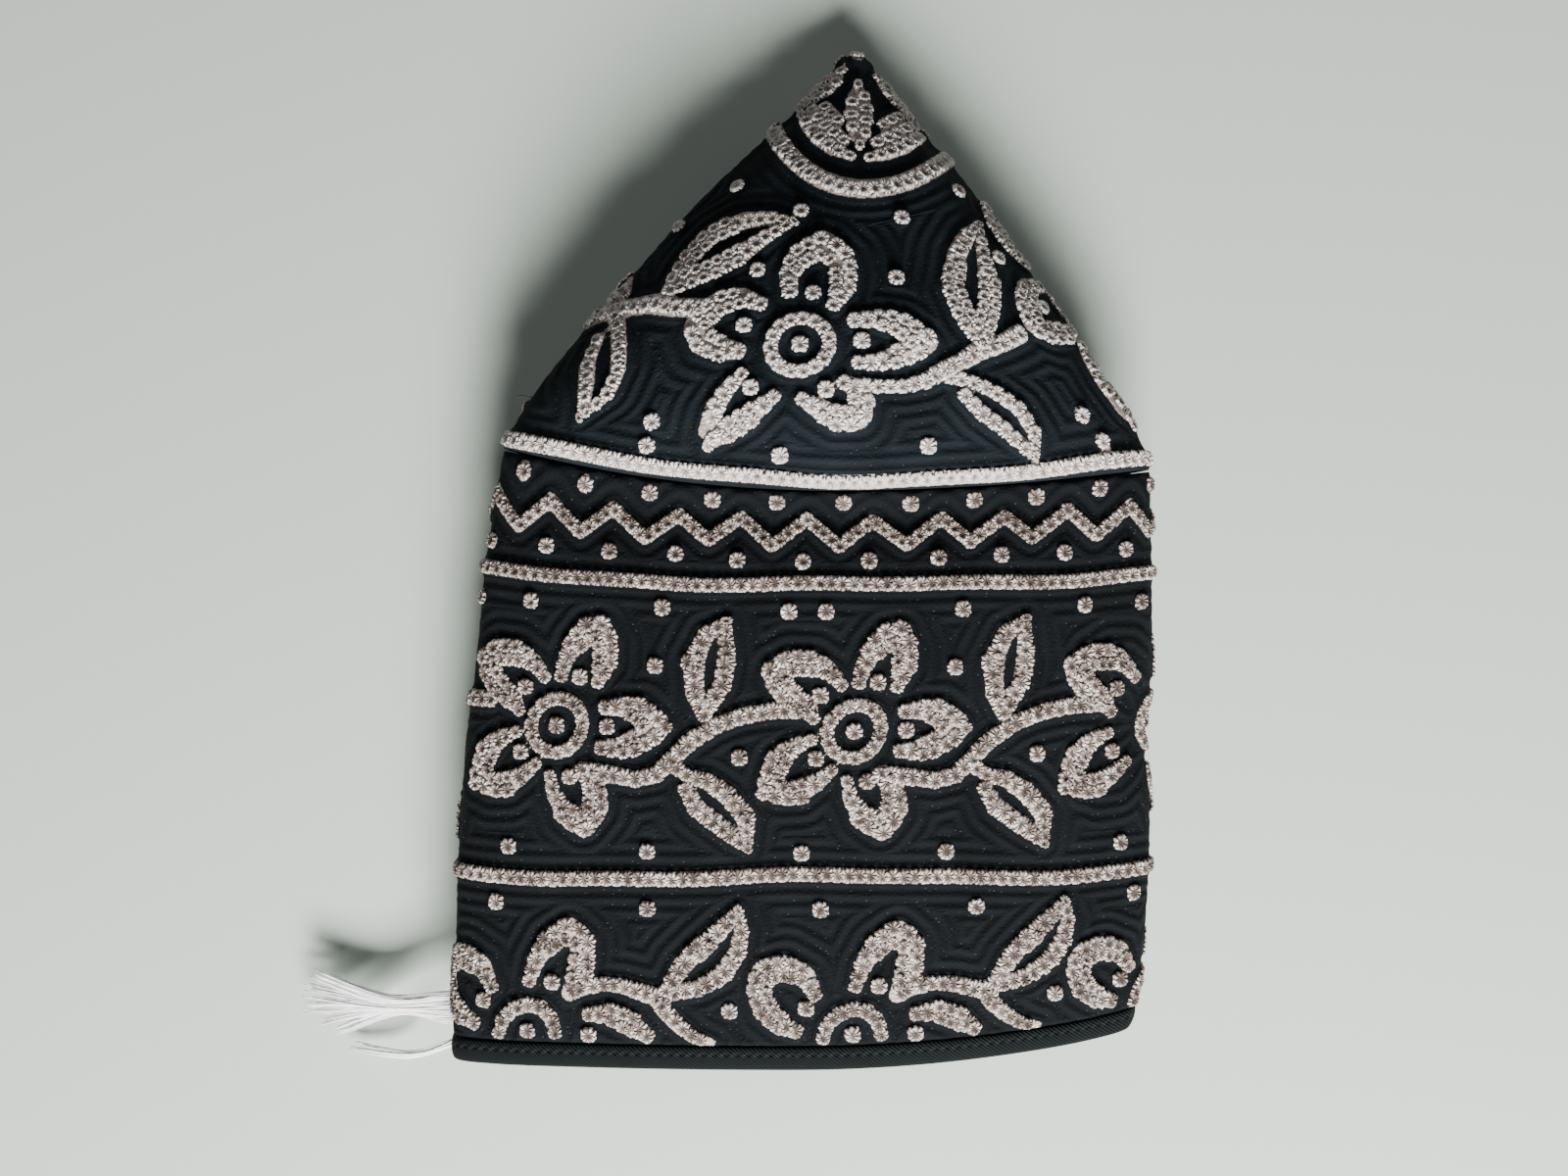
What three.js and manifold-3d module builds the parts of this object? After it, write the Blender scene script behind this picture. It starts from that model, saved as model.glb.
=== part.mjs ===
// An embroidered kuma cap, lying on its back as it is stored: a tall band and a round crown, folded flat.
// The crown is pushed out to a point, and each side of the cap is tucked in between the front and the back
// as a gusset, so that four layers of cloth lie on each other round an open hollow.
// Millimetres. +Y points from the hem to the crown's point, +X to the right, and +Z up from the surface.

import * as THREE from "three";
import { mergeVertices } from "three/addons/utils/BufferGeometryUtils.js";
import Module from "manifold-3d";

// Driving dimensions of the cloth
const WALL = 2.2; // quilted and embroidered cotton
const BINDING_WALL = 2.8; // the cloth turned in twice at the hem
const SEAM_GAP = 0.3; // between pieces that are sewn together
const ORIGIN_FROM_HEM = 92; // the origin lies under the middle of the cap

// Folds, as the radius of the cloth's middle line
const CREASE_RADIUS = 3.6; // where the front and the back turn into a gusset
const TUCK_RADIUS = 2.5; // where a gusset turns back on itself
const CREASE_REACH = 9; // how far in from a crease the cloth is bent by it
const TUCK_REACH = 7;
const ROUND_IN = 0.36; // a point on a round fold, as shares of its radius
const ROUND_UP = 0.23;
const FRONT_BULGE = 0.85; // the power in the front's arch from crease to crease; 1 is a parabola

// The band, a row for each line of cloth round the cap, from the hem up.
// y: distance from the hem at the middle of the front. left, right: where the side creases lie. upLeft,
// upRight: how much further from the hem the line lies at each crease. crease, front: height over the
// surface at the creases and at the middle of the front. tuck: how far in the gussets reach, as a share of
// the half width.
const BAND_ROWS = [
  { y: 2.7, left: -71.1, right: 69.3, upLeft: 0.0, upRight: 6.5, crease: 22.0, front: 27.5, tuck: 0.86 },
  { y: 9.0, left: -70.9, right: 70.4, upLeft: 0.0, upRight: 6.0, crease: 22.4, front: 28.5, tuck: 0.86 },
  { y: 23.0, left: -70.3, right: 71.8, upLeft: 0.5, upRight: 4.0, crease: 22.8, front: 29.9, tuck: 0.86 },
  { y: 40.4, left: -69.9, right: 72.8, upLeft: 0.5, upRight: 1.6, crease: 23.0, front: 30.9, tuck: 0.86 },
  { y: 54.0, left: -69.0, right: 72.8, upLeft: 0.8, upRight: 1.2, crease: 23.4, front: 31.9, tuck: 0.86 },
  { y: 68.0, left: -67.8, right: 71.5, upLeft: 1.4, upRight: 1.0, crease: 23.8, front: 32.7, tuck: 0.86 },
  { y: 81.6, left: -65.8, right: 73.0, upLeft: 2.2, upRight: 1.4, crease: 24.2, front: 33.3, tuck: 0.86 },
  { y: 99.6, left: -64.0, right: 73.0, upLeft: 3.4, upRight: 2.4, crease: 24.6, front: 33.7, tuck: 0.86 },
  { y: 107.0, left: -62.7, right: 72.8, upLeft: 4.6, upRight: 3.0, crease: 24.8, front: 32.7, tuck: 0.86 },
  { y: 113.4, left: -61.3, right: 72.6, upLeft: 6.4, upRight: 3.6, crease: 25.0, front: 31.5, tuck: 0.86 },
  { y: 118.2, left: -59.9, right: 72.3, upLeft: 9.3, upRight: 4.9, crease: 25.3, front: 33.3, tuck: 0.86 },
];

// The crown, a row for each circle of the round top, from the seam to the point
const CROWN_ROWS = [
  { y: 118.6, left: -59.8, right: 72.2, upLeft: 9.4, upRight: 5.0, crease: 25.4, front: 34.3, tuck: 0.86 },
  { y: 119.4, left: -59.5, right: 72.1, upLeft: 9.8, upRight: 5.2, crease: 25.5, front: 37.7, tuck: 0.86 },
  { y: 121.4, left: -58.2, right: 71.4, upLeft: 10.4, upRight: 5.8, crease: 25.8, front: 40.1, tuck: 0.86 },
  { y: 127.0, left: -54.4, right: 67.6, upLeft: 10.6, upRight: 7.4, crease: 26.4, front: 41.2, tuck: 0.86 },
  { y: 134.0, left: -48.8, right: 61.8, upLeft: 11.2, upRight: 9.4, crease: 26.6, front: 41.8, tuck: 0.85 },
  { y: 147.6, left: -34.2, right: 52.3, upLeft: 14.8, upRight: 9.8, crease: 26.0, front: 40.4, tuck: 0.82 },
  { y: 161.4, left: -23.0, right: 43.1, upLeft: 14.6, upRight: 10.2, crease: 23.6, front: 35.8, tuck: 0.76 },
  { y: 175.2, left: -12.7, right: 34.4, upLeft: 12.0, upRight: 9.8, crease: 20.6, front: 30.4, tuck: 0.62 },
  { y: 190.0, left: -2.2, right: 25.8, upLeft: 7.8, upRight: 6.2, crease: 17.0, front: 23.4, tuck: 0.32 },
  { y: 200.6, left: 4.6, right: 20.2, upLeft: 4.0, upRight: 3.0, crease: 14.0, front: 17.6, tuck: 0.08 },
  { y: 208.2, left: 8.6, right: 16.4, upLeft: 1.6, upRight: 1.2, crease: 11.4, front: 13.2, tuck: 0.0 },
];
const POINT = { x: 12.3, y: 212.6, z: 8.4 }; // the tip, at the middle of the crown's roundel
const BINDING_TOP = 7.6; // height of the hem binding's upper edge on the front
const HOLLOW_END = 192; // past this the crown's cloth is bunched solid
const HOLLOW_END_DEPTH = 2; // how far the hollow's closing point lies past its last row

// Stations and samples
const BAND_STEPS = 1;
const CROWN_STEPS = 2;
const SAMPLES_PER_CONTROL = 2;

const COLUMNS = Object.keys(BAND_ROWS[0]);
const mix = (a, b, t) => a + (b - a) * t;

// Rows between the table's rows, on a smooth line through each column.
function smoothRows(rows, steps) {
  const made = [];
  for (let i = 0; i < rows.length - 1; i++) {
    const [from, to] = [rows[i], rows[i + 1]];
    const before = rows[Math.max(i - 1, 0)];
    const after = rows[Math.min(i + 2, rows.length - 1)];
    for (let k = 0; k < steps; k++) {
      const t = k / steps;
      const row = {};
      for (const column of COLUMNS) {
        const slopeFrom = (to[column] - before[column]) / 2;
        const slopeTo = (after[column] - from[column]) / 2;
        row[column] =
          (2 * t ** 3 - 3 * t ** 2 + 1) * from[column] +
          (t ** 3 - 2 * t ** 2 + t) * slopeFrom +
          (3 * t ** 2 - 2 * t ** 3) * to[column] +
          (t ** 3 - t ** 2) * slopeTo;
      }
      made.push(row);
    }
  }
  made.push(rows[rows.length - 1]);
  return made;
}

// The row at one height of the front's middle line.
function rowAt(rows, y) {
  const i = Math.max(0, rows.findIndex((row) => row.y >= y) - 1);
  const [from, to] = [rows[i], rows[i + 1]];
  const t = (y - from.y) / (to.y - from.y);
  return Object.fromEntries(COLUMNS.map((column) => [column, mix(from[column], to[column], t)]));
}

// How high the front stands at a share a of the half width, from the creases to the bulging middle.
function frontHeight(row, a) {
  return mix(row.crease, row.front, (1 - a * a) ** FRONT_BULGE);
}

// One closed line round the cap, seen from the hem: across the back, in and out of the right gusset, over the
// front, and in and out of the left gusset. Each point has a share of the half width and a height.
function sectionLine(row, wall) {
  const half = (row.right - row.left) / 2 - WALL / 2;
  const floor = wall / 2;
  const top = row.crease - WALL / 2;
  const middle = (floor + top) / 2;
  const folded = Math.min(1, row.tuck / 0.3);
  const crease = mix((top - floor) / 8, Math.min(CREASE_RADIUS, (top - floor) / 4), folded);
  const tuck = mix((top - floor) / 6, TUCK_RADIUS, folded);
  const creaseReach = Math.min(CREASE_REACH / half, 0.2);
  const tuckTip = 1 - row.tuck;
  const tuckBack = tuckTip + Math.min(TUCK_REACH / half, 0.45 * row.tuck);
  const gussetSide = 1 - Math.min(creaseReach, 0.25 * row.tuck);
  const gussetMiddle = (tuckBack + gussetSide) / 2;
  const lower = mix(middle - tuck, floor + 2 * crease, 0.5);
  const upper = mix(middle + tuck, top - 2 * crease, 0.5);
  const bend = 1 - (folded * crease * ROUND_IN) / half;
  const tuckBend = tuckTip + (folded * tuck * ROUND_IN) / half;
  const side = [
    [0.45, floor],
    [1 - creaseReach, floor],
    [bend, floor + crease * ROUND_UP],
    [1, floor + crease],
    [bend, floor + crease * (2 - ROUND_UP)],
    [gussetSide, floor + 2 * crease],
    [gussetMiddle, lower],
    [tuckBack, middle - tuck],
    [tuckBend, middle - tuck * (1 - ROUND_UP)],
    [tuckTip, middle],
    [tuckBend, middle + tuck * (1 - ROUND_UP)],
    [tuckBack, middle + tuck],
    [gussetMiddle, upper],
    [gussetSide, top - 2 * crease],
    [bend, top - crease * (2 - ROUND_UP)],
    [1, top - crease],
    [bend, top - crease * ROUND_UP],
    [1 - creaseReach, frontHeight(row, 1 - creaseReach) - WALL / 2],
    [0.6, frontHeight(row, 0.6) - WALL / 2],
    [0.3, frontHeight(row, 0.3) - WALL / 2],
  ];
  const controls = [
    [0, floor],
    ...side,
    [0, row.front - WALL / 2],
    ...side.map(([a, z]) => [-a, z]).reverse(),
  ];
  const line = new THREE.CatmullRomCurve3(
    controls.map(([a, z]) => new THREE.Vector3(a * half, 0, z)),
    true,
    "centripetal",
  );
  const count = controls.length * SAMPLES_PER_CONTROL;
  return Array.from({ length: count }, (_, i) => {
    const point = line.getPoint(i / count);
    point.z = Math.max(point.z, floor);
    return point;
  });
}

// A loop of the wall's outer face, side 1, or inner face, side -1: the section line moved by half the wall,
// and bent further from the hem towards the creases.
function loopOf(row, wall, side) {
  const line = sectionLine(row, wall);
  const out = (side * wall) / 2;
  const centre = (row.left + row.right) / 2;
  const half = (row.right - row.left) / 2;
  return line.map((point, i) => {
    const before = line[(i + line.length - 1) % line.length];
    const after = line[(i + 1) % line.length];
    const along = new THREE.Vector3().subVectors(after, before).normalize();
    const x = point.x + along.z * out;
    const z = point.z - along.x * out;
    const a = x / half;
    const lift = (a < 0 ? row.upLeft : row.upRight) * Math.min(1, a * a);
    return new THREE.Vector3(centre + x, row.y + lift - ORIGIN_FROM_HEM, z);
  });
}

// Triangles between two loops of equal length; the first loop is followed anticlockwise seen from -Y.
function skinBetween(loops, faces, start, facesOut) {
  const count = loops[0].length;
  for (let j = 0; j < loops.length - 1; j++) {
    for (let i = 0; i < count; i++) {
      const [a, b] = [start + j * count + i, start + j * count + ((i + 1) % count)];
      const [c, d] = [a + count, b + count];
      faces.push(...(facesOut ? [a, d, b, a, c, d] : [a, b, d, a, d, c]));
    }
  }
}

function geometryOf(points, faces) {
  const geometry = new THREE.BufferGeometry();
  geometry.setAttribute("position", new THREE.Float32BufferAttribute(points.flatMap((p) => p.toArray()), 3));
  geometry.setIndex(faces);
  return geometry;
}

// A tube of cloth with a wall, open at both ends.
function openWall(rows, wall) {
  const outer = rows.map((row) => loopOf(row, wall, 1));
  const inner = rows.map((row) => loopOf(row, wall, -1));
  const points = [...outer.flat(), ...inner.flat()];
  const faces = [];
  const count = outer[0].length;
  const innerStart = outer.flat().length;
  skinBetween(outer, faces, 0, true);
  skinBetween(inner, faces, innerStart, false);
  const last = (rows.length - 1) * count;
  for (let i = 0; i < count; i++) {
    const next = (i + 1) % count;
    faces.push(i, innerStart + next, innerStart + i, i, next, innerStart + next);
    faces.push(last + i, innerStart + last + i, innerStart + last + next);
    faces.push(last + i, innerStart + last + next, last + next);
  }
  return geometryOf(points, faces);
}

// The crown's wall, open at the seam and closed at its point.
function closedWall(rows, wall) {
  const outer = rows.map((row) => loopOf(row, wall, 1));
  const hollowRows = rows.filter((row) => row.y < HOLLOW_END);
  const inner = hollowRows.map((row) => loopOf(row, wall, -1));
  const tip = new THREE.Vector3(POINT.x, POINT.y - ORIGIN_FROM_HEM, POINT.z);
  const endRow = hollowRows[hollowRows.length - 1];
  const endX = (endRow.left + endRow.right) / 2;
  const endY = endRow.y + HOLLOW_END_DEPTH - ORIGIN_FROM_HEM;
  const end = new THREE.Vector3(endX, endY, (endRow.crease + WALL) / 2);
  const points = [...outer.flat(), ...inner.flat(), tip, end];
  const faces = [];
  const count = outer[0].length;
  const innerStart = outer.flat().length;
  const [tipAt, endAt] = [points.length - 2, points.length - 1];
  skinBetween(outer, faces, 0, true);
  skinBetween(inner, faces, innerStart, false);
  const lastOuter = (outer.length - 1) * count;
  const lastInner = innerStart + (inner.length - 1) * count;
  for (let i = 0; i < count; i++) {
    const next = (i + 1) % count;
    faces.push(i, innerStart + next, innerStart + i, i, next, innerStart + next);
    faces.push(lastOuter + i, tipAt, lastOuter + next);
    faces.push(lastInner + next, endAt, lastInner + i);
  }
  return geometryOf(points, faces);
}

// The loose white threads at the left of the hem: flat strands from a knot that lies in the left gusset.
const KNOT = { x: -60.0, y: 11.8, z: 11.1, length: 9, width: 7, height: 1.8 };
const STRAND_SIDES = 8;
const STRAND_STEPS = 9;
// A row for each strand: where it leaves the knot, where it passes the cap's edge and where it ends, its
// width at the root, and how far it bends sideways on the way.
const STRANDS = [
  { rootY: 14.0, edgeY: 12.9, endX: -104.2, endY: 17.1, endZ: 6.5, width: 1.8, sag: -3.2 },
  { rootY: 12.8, edgeY: 11.8, endX: -106.5, endY: 13.2, endZ: 6.0, width: 2.0, sag: -1.8 },
  { rootY: 11.6, edgeY: 10.6, endX: -107.0, endY: 9.6, endZ: 5.0, width: 2.0, sag: -0.3 },
  { rootY: 10.4, edgeY: 9.4, endX: -104.0, endY: 6.2, endZ: 3.8, width: 1.9, sag: 1.0 },
  { rootY: 9.6, edgeY: 8.2, endX: -100.4, endY: 2.9, endZ: 2.6, width: 1.6, sag: 2.1 },
  { rootY: 9.0, edgeY: 2.6, endX: -97.2, endY: -0.6, endZ: 1.8, width: 1.4, sag: -2.8 },
];
const STRAND_FLATNESS = 0.5; // a strand's height as a share of its width
const STRAND_TAPER = 0.55;
const EDGE_X = -74.0; // just outside the cap's left crease
const EDGE_Z = 11.1;

function strandGeometry(strand) {
  const { rootY, edgeY, endX, endY, endZ, sag } = strand;
  const route = new THREE.CatmullRomCurve3([
    new THREE.Vector3(KNOT.x - 1, rootY, KNOT.z),
    new THREE.Vector3(mix(KNOT.x, EDGE_X, 0.55), mix(rootY, edgeY, 0.5), mix(KNOT.z, EDGE_Z, 0.35)),
    new THREE.Vector3(EDGE_X, edgeY, EDGE_Z),
    new THREE.Vector3(mix(EDGE_X, endX, 0.45), mix(edgeY, endY, 0.4) + sag, mix(EDGE_Z, endZ, 0.7)),
    new THREE.Vector3(endX, endY, endZ),
  ]);
  const points = [];
  for (let j = 0; j <= STRAND_STEPS; j++) {
    const t = j / STRAND_STEPS;
    const at = route.getPoint(t);
    const along = route.getTangent(t);
    const across = new THREE.Vector3(0, 0, 1).cross(along).normalize();
    const up = new THREE.Vector3().crossVectors(along, across);
    const half = (strand.width / 2) * mix(1, STRAND_TAPER, t);
    for (let i = 0; i < STRAND_SIDES; i++) {
      const turn = (2 * Math.PI * i) / STRAND_SIDES;
      points.push(
        at.clone()
          .addScaledVector(across, half * Math.cos(turn))
          .addScaledVector(up, half * STRAND_FLATNESS * Math.sin(turn)),
      );
    }
  }
  const faces = [];
  for (let j = 0; j < STRAND_STEPS; j++) {
    for (let i = 0; i < STRAND_SIDES; i++) {
      const [a, b] = [j * STRAND_SIDES + i, j * STRAND_SIDES + ((i + 1) % STRAND_SIDES)];
      faces.push(a, b, b + STRAND_SIDES, a, b + STRAND_SIDES, a + STRAND_SIDES);
    }
  }
  const last = STRAND_STEPS * STRAND_SIDES;
  for (let i = 1; i < STRAND_SIDES - 1; i++) {
    faces.push(0, i + 1, i, last, last + i, last + i + 1);
  }
  return geometryOf(points, faces);
}

const wasm = await Module();
wasm.setup();

function solidOf(geometry) {
  const bare = new THREE.BufferGeometry();
  bare.setAttribute("position", geometry.getAttribute("position"));
  bare.setIndex(geometry.getIndex());
  const merged = mergeVertices(bare, 1e-4);
  return new wasm.Manifold(
    new wasm.Mesh({
      numProp: 3,
      vertProperties: new Float32Array(merged.getAttribute("position").array),
      triVerts: new Uint32Array(merged.getIndex().array),
    }),
  );
}

function geometryOfSolid(solid) {
  const mesh = solid.getMesh();
  const geometry = new THREE.BufferGeometry();
  geometry.setAttribute("position", new THREE.BufferAttribute(mesh.vertProperties, 3));
  geometry.setIndex(new THREE.BufferAttribute(mesh.triVerts, 1));
  return geometry;
}

function tasselGeometry() {
  const knot = new THREE.SphereGeometry(0.5, 12, 8);
  knot.scale(KNOT.length, KNOT.width, KNOT.height);
  knot.translate(KNOT.x, KNOT.y, KNOT.z);
  let tassel = solidOf(knot);
  for (const strand of STRANDS) {
    tassel = tassel.add(solidOf(strandGeometry(strand)));
  }
  const geometry = geometryOfSolid(tassel);
  geometry.translate(0, -ORIGIN_FROM_HEM, 0);
  return geometry;
}

// The hem binding is the band's own line at its lowest rows, and the band starts a seam's gap above it.
function bindingRows() {
  return [BAND_ROWS[0], rowAt(BAND_ROWS, BINDING_TOP)];
}

function bandRows() {
  const above = BAND_ROWS.filter((row) => row.y > BINDING_TOP + 2);
  return smoothRows([rowAt(BAND_ROWS, BINDING_TOP + SEAM_GAP), ...above], BAND_STEPS);
}

function crownRows() {
  return smoothRows(CROWN_ROWS, CROWN_STEPS);
}

const blackCotton = new THREE.MeshStandardMaterial({ color: 0x12161b, roughness: 0.9, metalness: 0 });
const blackCrown = new THREE.MeshStandardMaterial({ color: 0x13171d, roughness: 0.9, metalness: 0 });
const blackBinding = new THREE.MeshStandardMaterial({ color: 0x101416, roughness: 0.92, metalness: 0 });
const whiteThread = new THREE.MeshStandardMaterial({ color: 0xe6e8e6, roughness: 0.7, metalness: 0 });

function meshOf(name, geometry, material) {
  const mesh = new THREE.Mesh(geometry, material);
  mesh.name = name;
  return mesh;
}

const cap = new THREE.Group();
cap.add(meshOf("crown", closedWall(crownRows(), WALL), blackCrown));
cap.add(meshOf("band", openWall(bandRows(), WALL), blackCotton));
cap.add(meshOf("hem_binding", openWall(bindingRows(), BINDING_WALL), blackBinding));
cap.add(meshOf("thread_tassel", tasselGeometry(), whiteThread));

export default cap;
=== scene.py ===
"""An embroidered kuma cap, folded flat and lying on its back, with its crown pushed out to a point."""

import bpy
import numpy as np
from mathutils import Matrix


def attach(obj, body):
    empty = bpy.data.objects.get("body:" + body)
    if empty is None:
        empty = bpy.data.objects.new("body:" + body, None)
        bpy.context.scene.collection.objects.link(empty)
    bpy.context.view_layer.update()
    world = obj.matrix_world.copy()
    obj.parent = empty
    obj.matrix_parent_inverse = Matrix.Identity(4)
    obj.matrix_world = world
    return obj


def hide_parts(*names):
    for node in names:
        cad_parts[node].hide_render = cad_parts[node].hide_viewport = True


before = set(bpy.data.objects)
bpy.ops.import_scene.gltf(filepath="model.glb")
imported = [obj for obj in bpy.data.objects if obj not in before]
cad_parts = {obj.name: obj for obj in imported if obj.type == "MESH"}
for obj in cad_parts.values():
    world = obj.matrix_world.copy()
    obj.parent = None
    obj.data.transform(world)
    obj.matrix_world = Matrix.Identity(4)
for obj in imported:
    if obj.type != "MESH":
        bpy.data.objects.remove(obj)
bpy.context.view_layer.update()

# The band's cloth
# Two layers of black cotton, quilted together along lines that echo the embroidery, 118 mm tall and 556 mm
# round. It is folded in four: a front, a back and two gussets, and the crown's cloth carries on from it.

MM = 0.001
WALL = 2.2
HEM_TO_ORIGIN = 92.0
ROUND = 556.0

# A row for each line of cloth round the cap: its distance from the hem at the middle of the front, the places
# of its side creases, how much further from the hem it lies there, its height over the floor at the creases
# and at the middle of the front, and the share of the half width that the gussets reach in.
COLUMNS = ("y", "left", "right", "up_left", "up_right", "crease", "front", "tuck")
BAND_LINES = np.array([
    (2.7, -71.1, 69.3, 0.0, 6.5, 22.0, 27.5, 0.86),
    (9.0, -70.9, 70.4, 0.0, 6.0, 22.4, 28.5, 0.86),
    (23.0, -70.3, 71.8, 0.5, 4.0, 22.8, 29.9, 0.86),
    (40.4, -69.9, 72.8, 0.5, 1.6, 23.0, 30.9, 0.86),
    (54.0, -69.0, 72.8, 0.8, 1.2, 23.4, 31.9, 0.86),
    (68.0, -67.8, 71.5, 1.4, 1.0, 23.8, 32.7, 0.86),
    (81.6, -65.8, 73.0, 2.2, 1.4, 24.2, 33.3, 0.86),
    (99.6, -64.0, 73.0, 3.4, 2.4, 24.6, 33.7, 0.86),
    (107.0, -62.7, 72.8, 4.6, 3.0, 24.8, 32.7, 0.86),
    (113.4, -61.3, 72.6, 6.4, 3.6, 25.0, 31.5, 0.86),
    (118.2, -59.9, 72.3, 9.3, 4.9, 25.3, 33.3, 0.86),
])


def lines_between(table, steps):
    """Rows between the table's rows, on a smooth line through each column."""
    before = table[np.maximum(np.arange(len(table) - 1) - 1, 0)]
    after = table[np.minimum(np.arange(len(table) - 1) + 2, len(table) - 1)]
    made = []
    for p, a, b, q in zip(before, table[:-1], table[1:], after):
        for t in np.arange(steps) / steps:
            made.append(
                (2 * t**3 - 3 * t**2 + 1) * a + (t**3 - 2 * t**2 + t) * (b - p) / 2
                + (3 * t**2 - 2 * t**3) * b + (t**3 - t**2) * (q - a) / 2
            )
    return np.array(made + [table[-1]])


# How wide the bends at the creases and at the gussets' tips are, and how full the front's curve is.
CREASE_BEND, TUCK_BEND, FRONT_CURVE = 3.6, 2.5, 0.85


def front_height(row, a):
    return row["crease"] + (row["front"] - row["crease"]) * (1 - a * a) ** FRONT_CURVE


def fold_points(row, wall):
    """The cloth's middle line, from the back's middle round by the right side, the front and the left
    side."""
    half = (row["right"] - row["left"]) / 2 - WALL / 2
    floor, top = wall / 2, row["crease"] - WALL / 2
    middle, folded = (floor + top) / 2, min(1, row["tuck"] / 0.3)
    crease = (top - floor) / 8 + (min(CREASE_BEND, (top - floor) / 4) - (top - floor) / 8) * folded
    tuck = (top - floor) / 6 + (TUCK_BEND - (top - floor) / 6) * folded
    reach = min(9 / half, 0.2)
    tip = 1 - row["tuck"]
    tip_back = tip + min(7 / half, 0.45 * row["tuck"])
    side = 1 - min(reach, 0.25 * row["tuck"])
    between = (tip_back + side) / 2
    lower = (middle - tuck + floor + 2 * crease) / 2
    upper = (middle + tuck + top - 2 * crease) / 2
    bend, tip_bend = 1 - folded * crease * 0.36 / half, tip + folded * tuck * 0.36 / half
    right = [
        (0.45, floor), (1 - reach, floor), (bend, floor + crease * 0.23), (1, floor + crease),
        (bend, floor + crease * 1.77), (side, floor + 2 * crease), (between, lower),
        (tip_back, middle - tuck),
        (tip_bend, middle - tuck * 0.77), (tip, middle), (tip_bend, middle + tuck * 0.77),
        (tip_back, middle + tuck), (between, upper), (side, top - 2 * crease), (bend, top - crease * 1.77),
        (1, top - crease), (bend, top - crease * 0.23), (1 - reach, front_height(row, 1 - reach) - WALL / 2),
        (0.6, front_height(row, 0.6) - WALL / 2), (0.3, front_height(row, 0.3) - WALL / 2),
    ]
    left = [(-a, z) for a, z in reversed(right)]
    return np.array([(0, floor)] + right + [(0, row["front"] - WALL / 2)] + left) * (half, 1)


def round_line(points, steps):
    """A closed smooth line through the points, with so many places on each stretch."""
    p = [np.roll(points, k, axis=0) for k in (1, 0, -1, -2)]
    d = [np.sqrt(np.linalg.norm(p[k + 1] - p[k], axis=1))[:, None] for k in range(3)]
    out = ((p[1] - p[0]) / d[0] - (p[2] - p[0]) / (d[0] + d[1]) + (p[2] - p[1]) / d[1]) * d[1]
    into = ((p[2] - p[1]) / d[1] - (p[3] - p[1]) / (d[1] + d[2]) + (p[3] - p[2]) / d[2]) * d[1]
    t = np.arange(steps)[None, :, None] / steps
    start, end = p[1][:, None], p[2][:, None]
    line = start + out[:, None] * t + (3 * (end - start) - 2 * out[:, None] - into[:, None]) * t**2
    line += (2 * (start - end) + out[:, None] + into[:, None]) * t**3
    return line.reshape(-1, 2)


# A line round the cap has so many stretches, with so many steps each. The front's middle and the four creases
# come at these stretches.
STRETCHES, STRETCH_STEPS = 42, 12
FRONT_MIDDLE, CREASES = 21, (16, 4, 38, 26)


def cloth_line(values, wall, side):
    """One line round the cap on the cloth's outer face, side 1, or inner face, side -1. It starts at the
    middle of the front and runs to the right. It is given with its four creases, as places along it."""
    row = dict(zip(COLUMNS, values))
    middle = round_line(fold_points(row, wall), STRETCH_STEPS)
    middle[:, 1] = np.maximum(middle[:, 1], wall / 2)
    along = np.roll(middle, -1, axis=0) - np.roll(middle, 1, axis=0)
    along /= np.linalg.norm(along, axis=1)[:, None]
    face = middle + np.stack([along[:, 1], -along[:, 0]], axis=1) * side * wall / 2
    a = face[:, 0] / ((row["right"] - row["left"]) / 2)
    up = np.where(a < 0, row["up_left"], row["up_right"]) * np.minimum(1, a * a)
    x = (row["left"] + row["right"]) / 2 + face[:, 0]
    line = np.stack([x, row["y"] + up - HEM_TO_ORIGIN, face[:, 1]], axis=1)
    line = np.roll(line[::-1], FRONT_MIDDLE * STRETCH_STEPS + 1, axis=0)
    creases = [(FRONT_MIDDLE - k) % STRETCHES * STRETCH_STEPS for k in CREASES]
    return line, creases


def even_line(values, wall, side, count):
    """The same line as so many evenly spaced places, and where its creases come as shares of it."""
    line, creases = cloth_line(values, wall, side)
    closed = np.vstack([line, line[:1]])
    far = np.concatenate([[0], np.cumsum(np.linalg.norm(np.diff(closed, axis=0), axis=1))])
    at = np.linspace(0, far[-1], count, endpoint=False)
    return np.stack([np.interp(at, far, closed[:, k]) for k in range(3)], axis=1), far[creases] / far[-1]


def fold_flat(rows, wall, side, count, round_of, ease=1.0):
    """The cloth through these lines: its places, and how far round the cap each of them comes, from the
    middle of the front. The front and the back keep their width, eased a little, and the gussets take up
    what is left."""
    places, around = [], []
    for values in rows:
        line, creases = even_line(values, wall, side, count)
        length = np.linalg.norm(np.roll(line, -1, axis=0) - line, axis=1).sum()
        whole, middle = round_of(values)
        knots = np.array([0, *(creases * length), length])
        flat = knots * ease
        flat[2:4] += (whole - length * ease) / 2
        flat[4:] += whole - length * ease
        places.append(line)
        around.append(middle + np.interp(np.arange(count + 1) * length / count, knots, flat))
    return np.array(places), np.array(around)


def band_round(values):
    return ROUND, 0.0


def smooth_rows(table, column, at):
    """The table's rows at these values of one column."""
    fine = lines_between(table, 40)
    return np.stack([np.interp(at, fine[:, column], fine[:, k]) for k in range(len(COLUMNS))], axis=1)


def outward(places):
    """The direction out of the cloth at each place."""
    across = np.roll(places, -1, axis=1) - np.roll(places, 1, axis=1)
    along = np.gradient(places, axis=0)
    out = np.cross(across, along)
    return out / np.maximum(np.linalg.norm(out, axis=2), 1e-9)[..., None]


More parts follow.
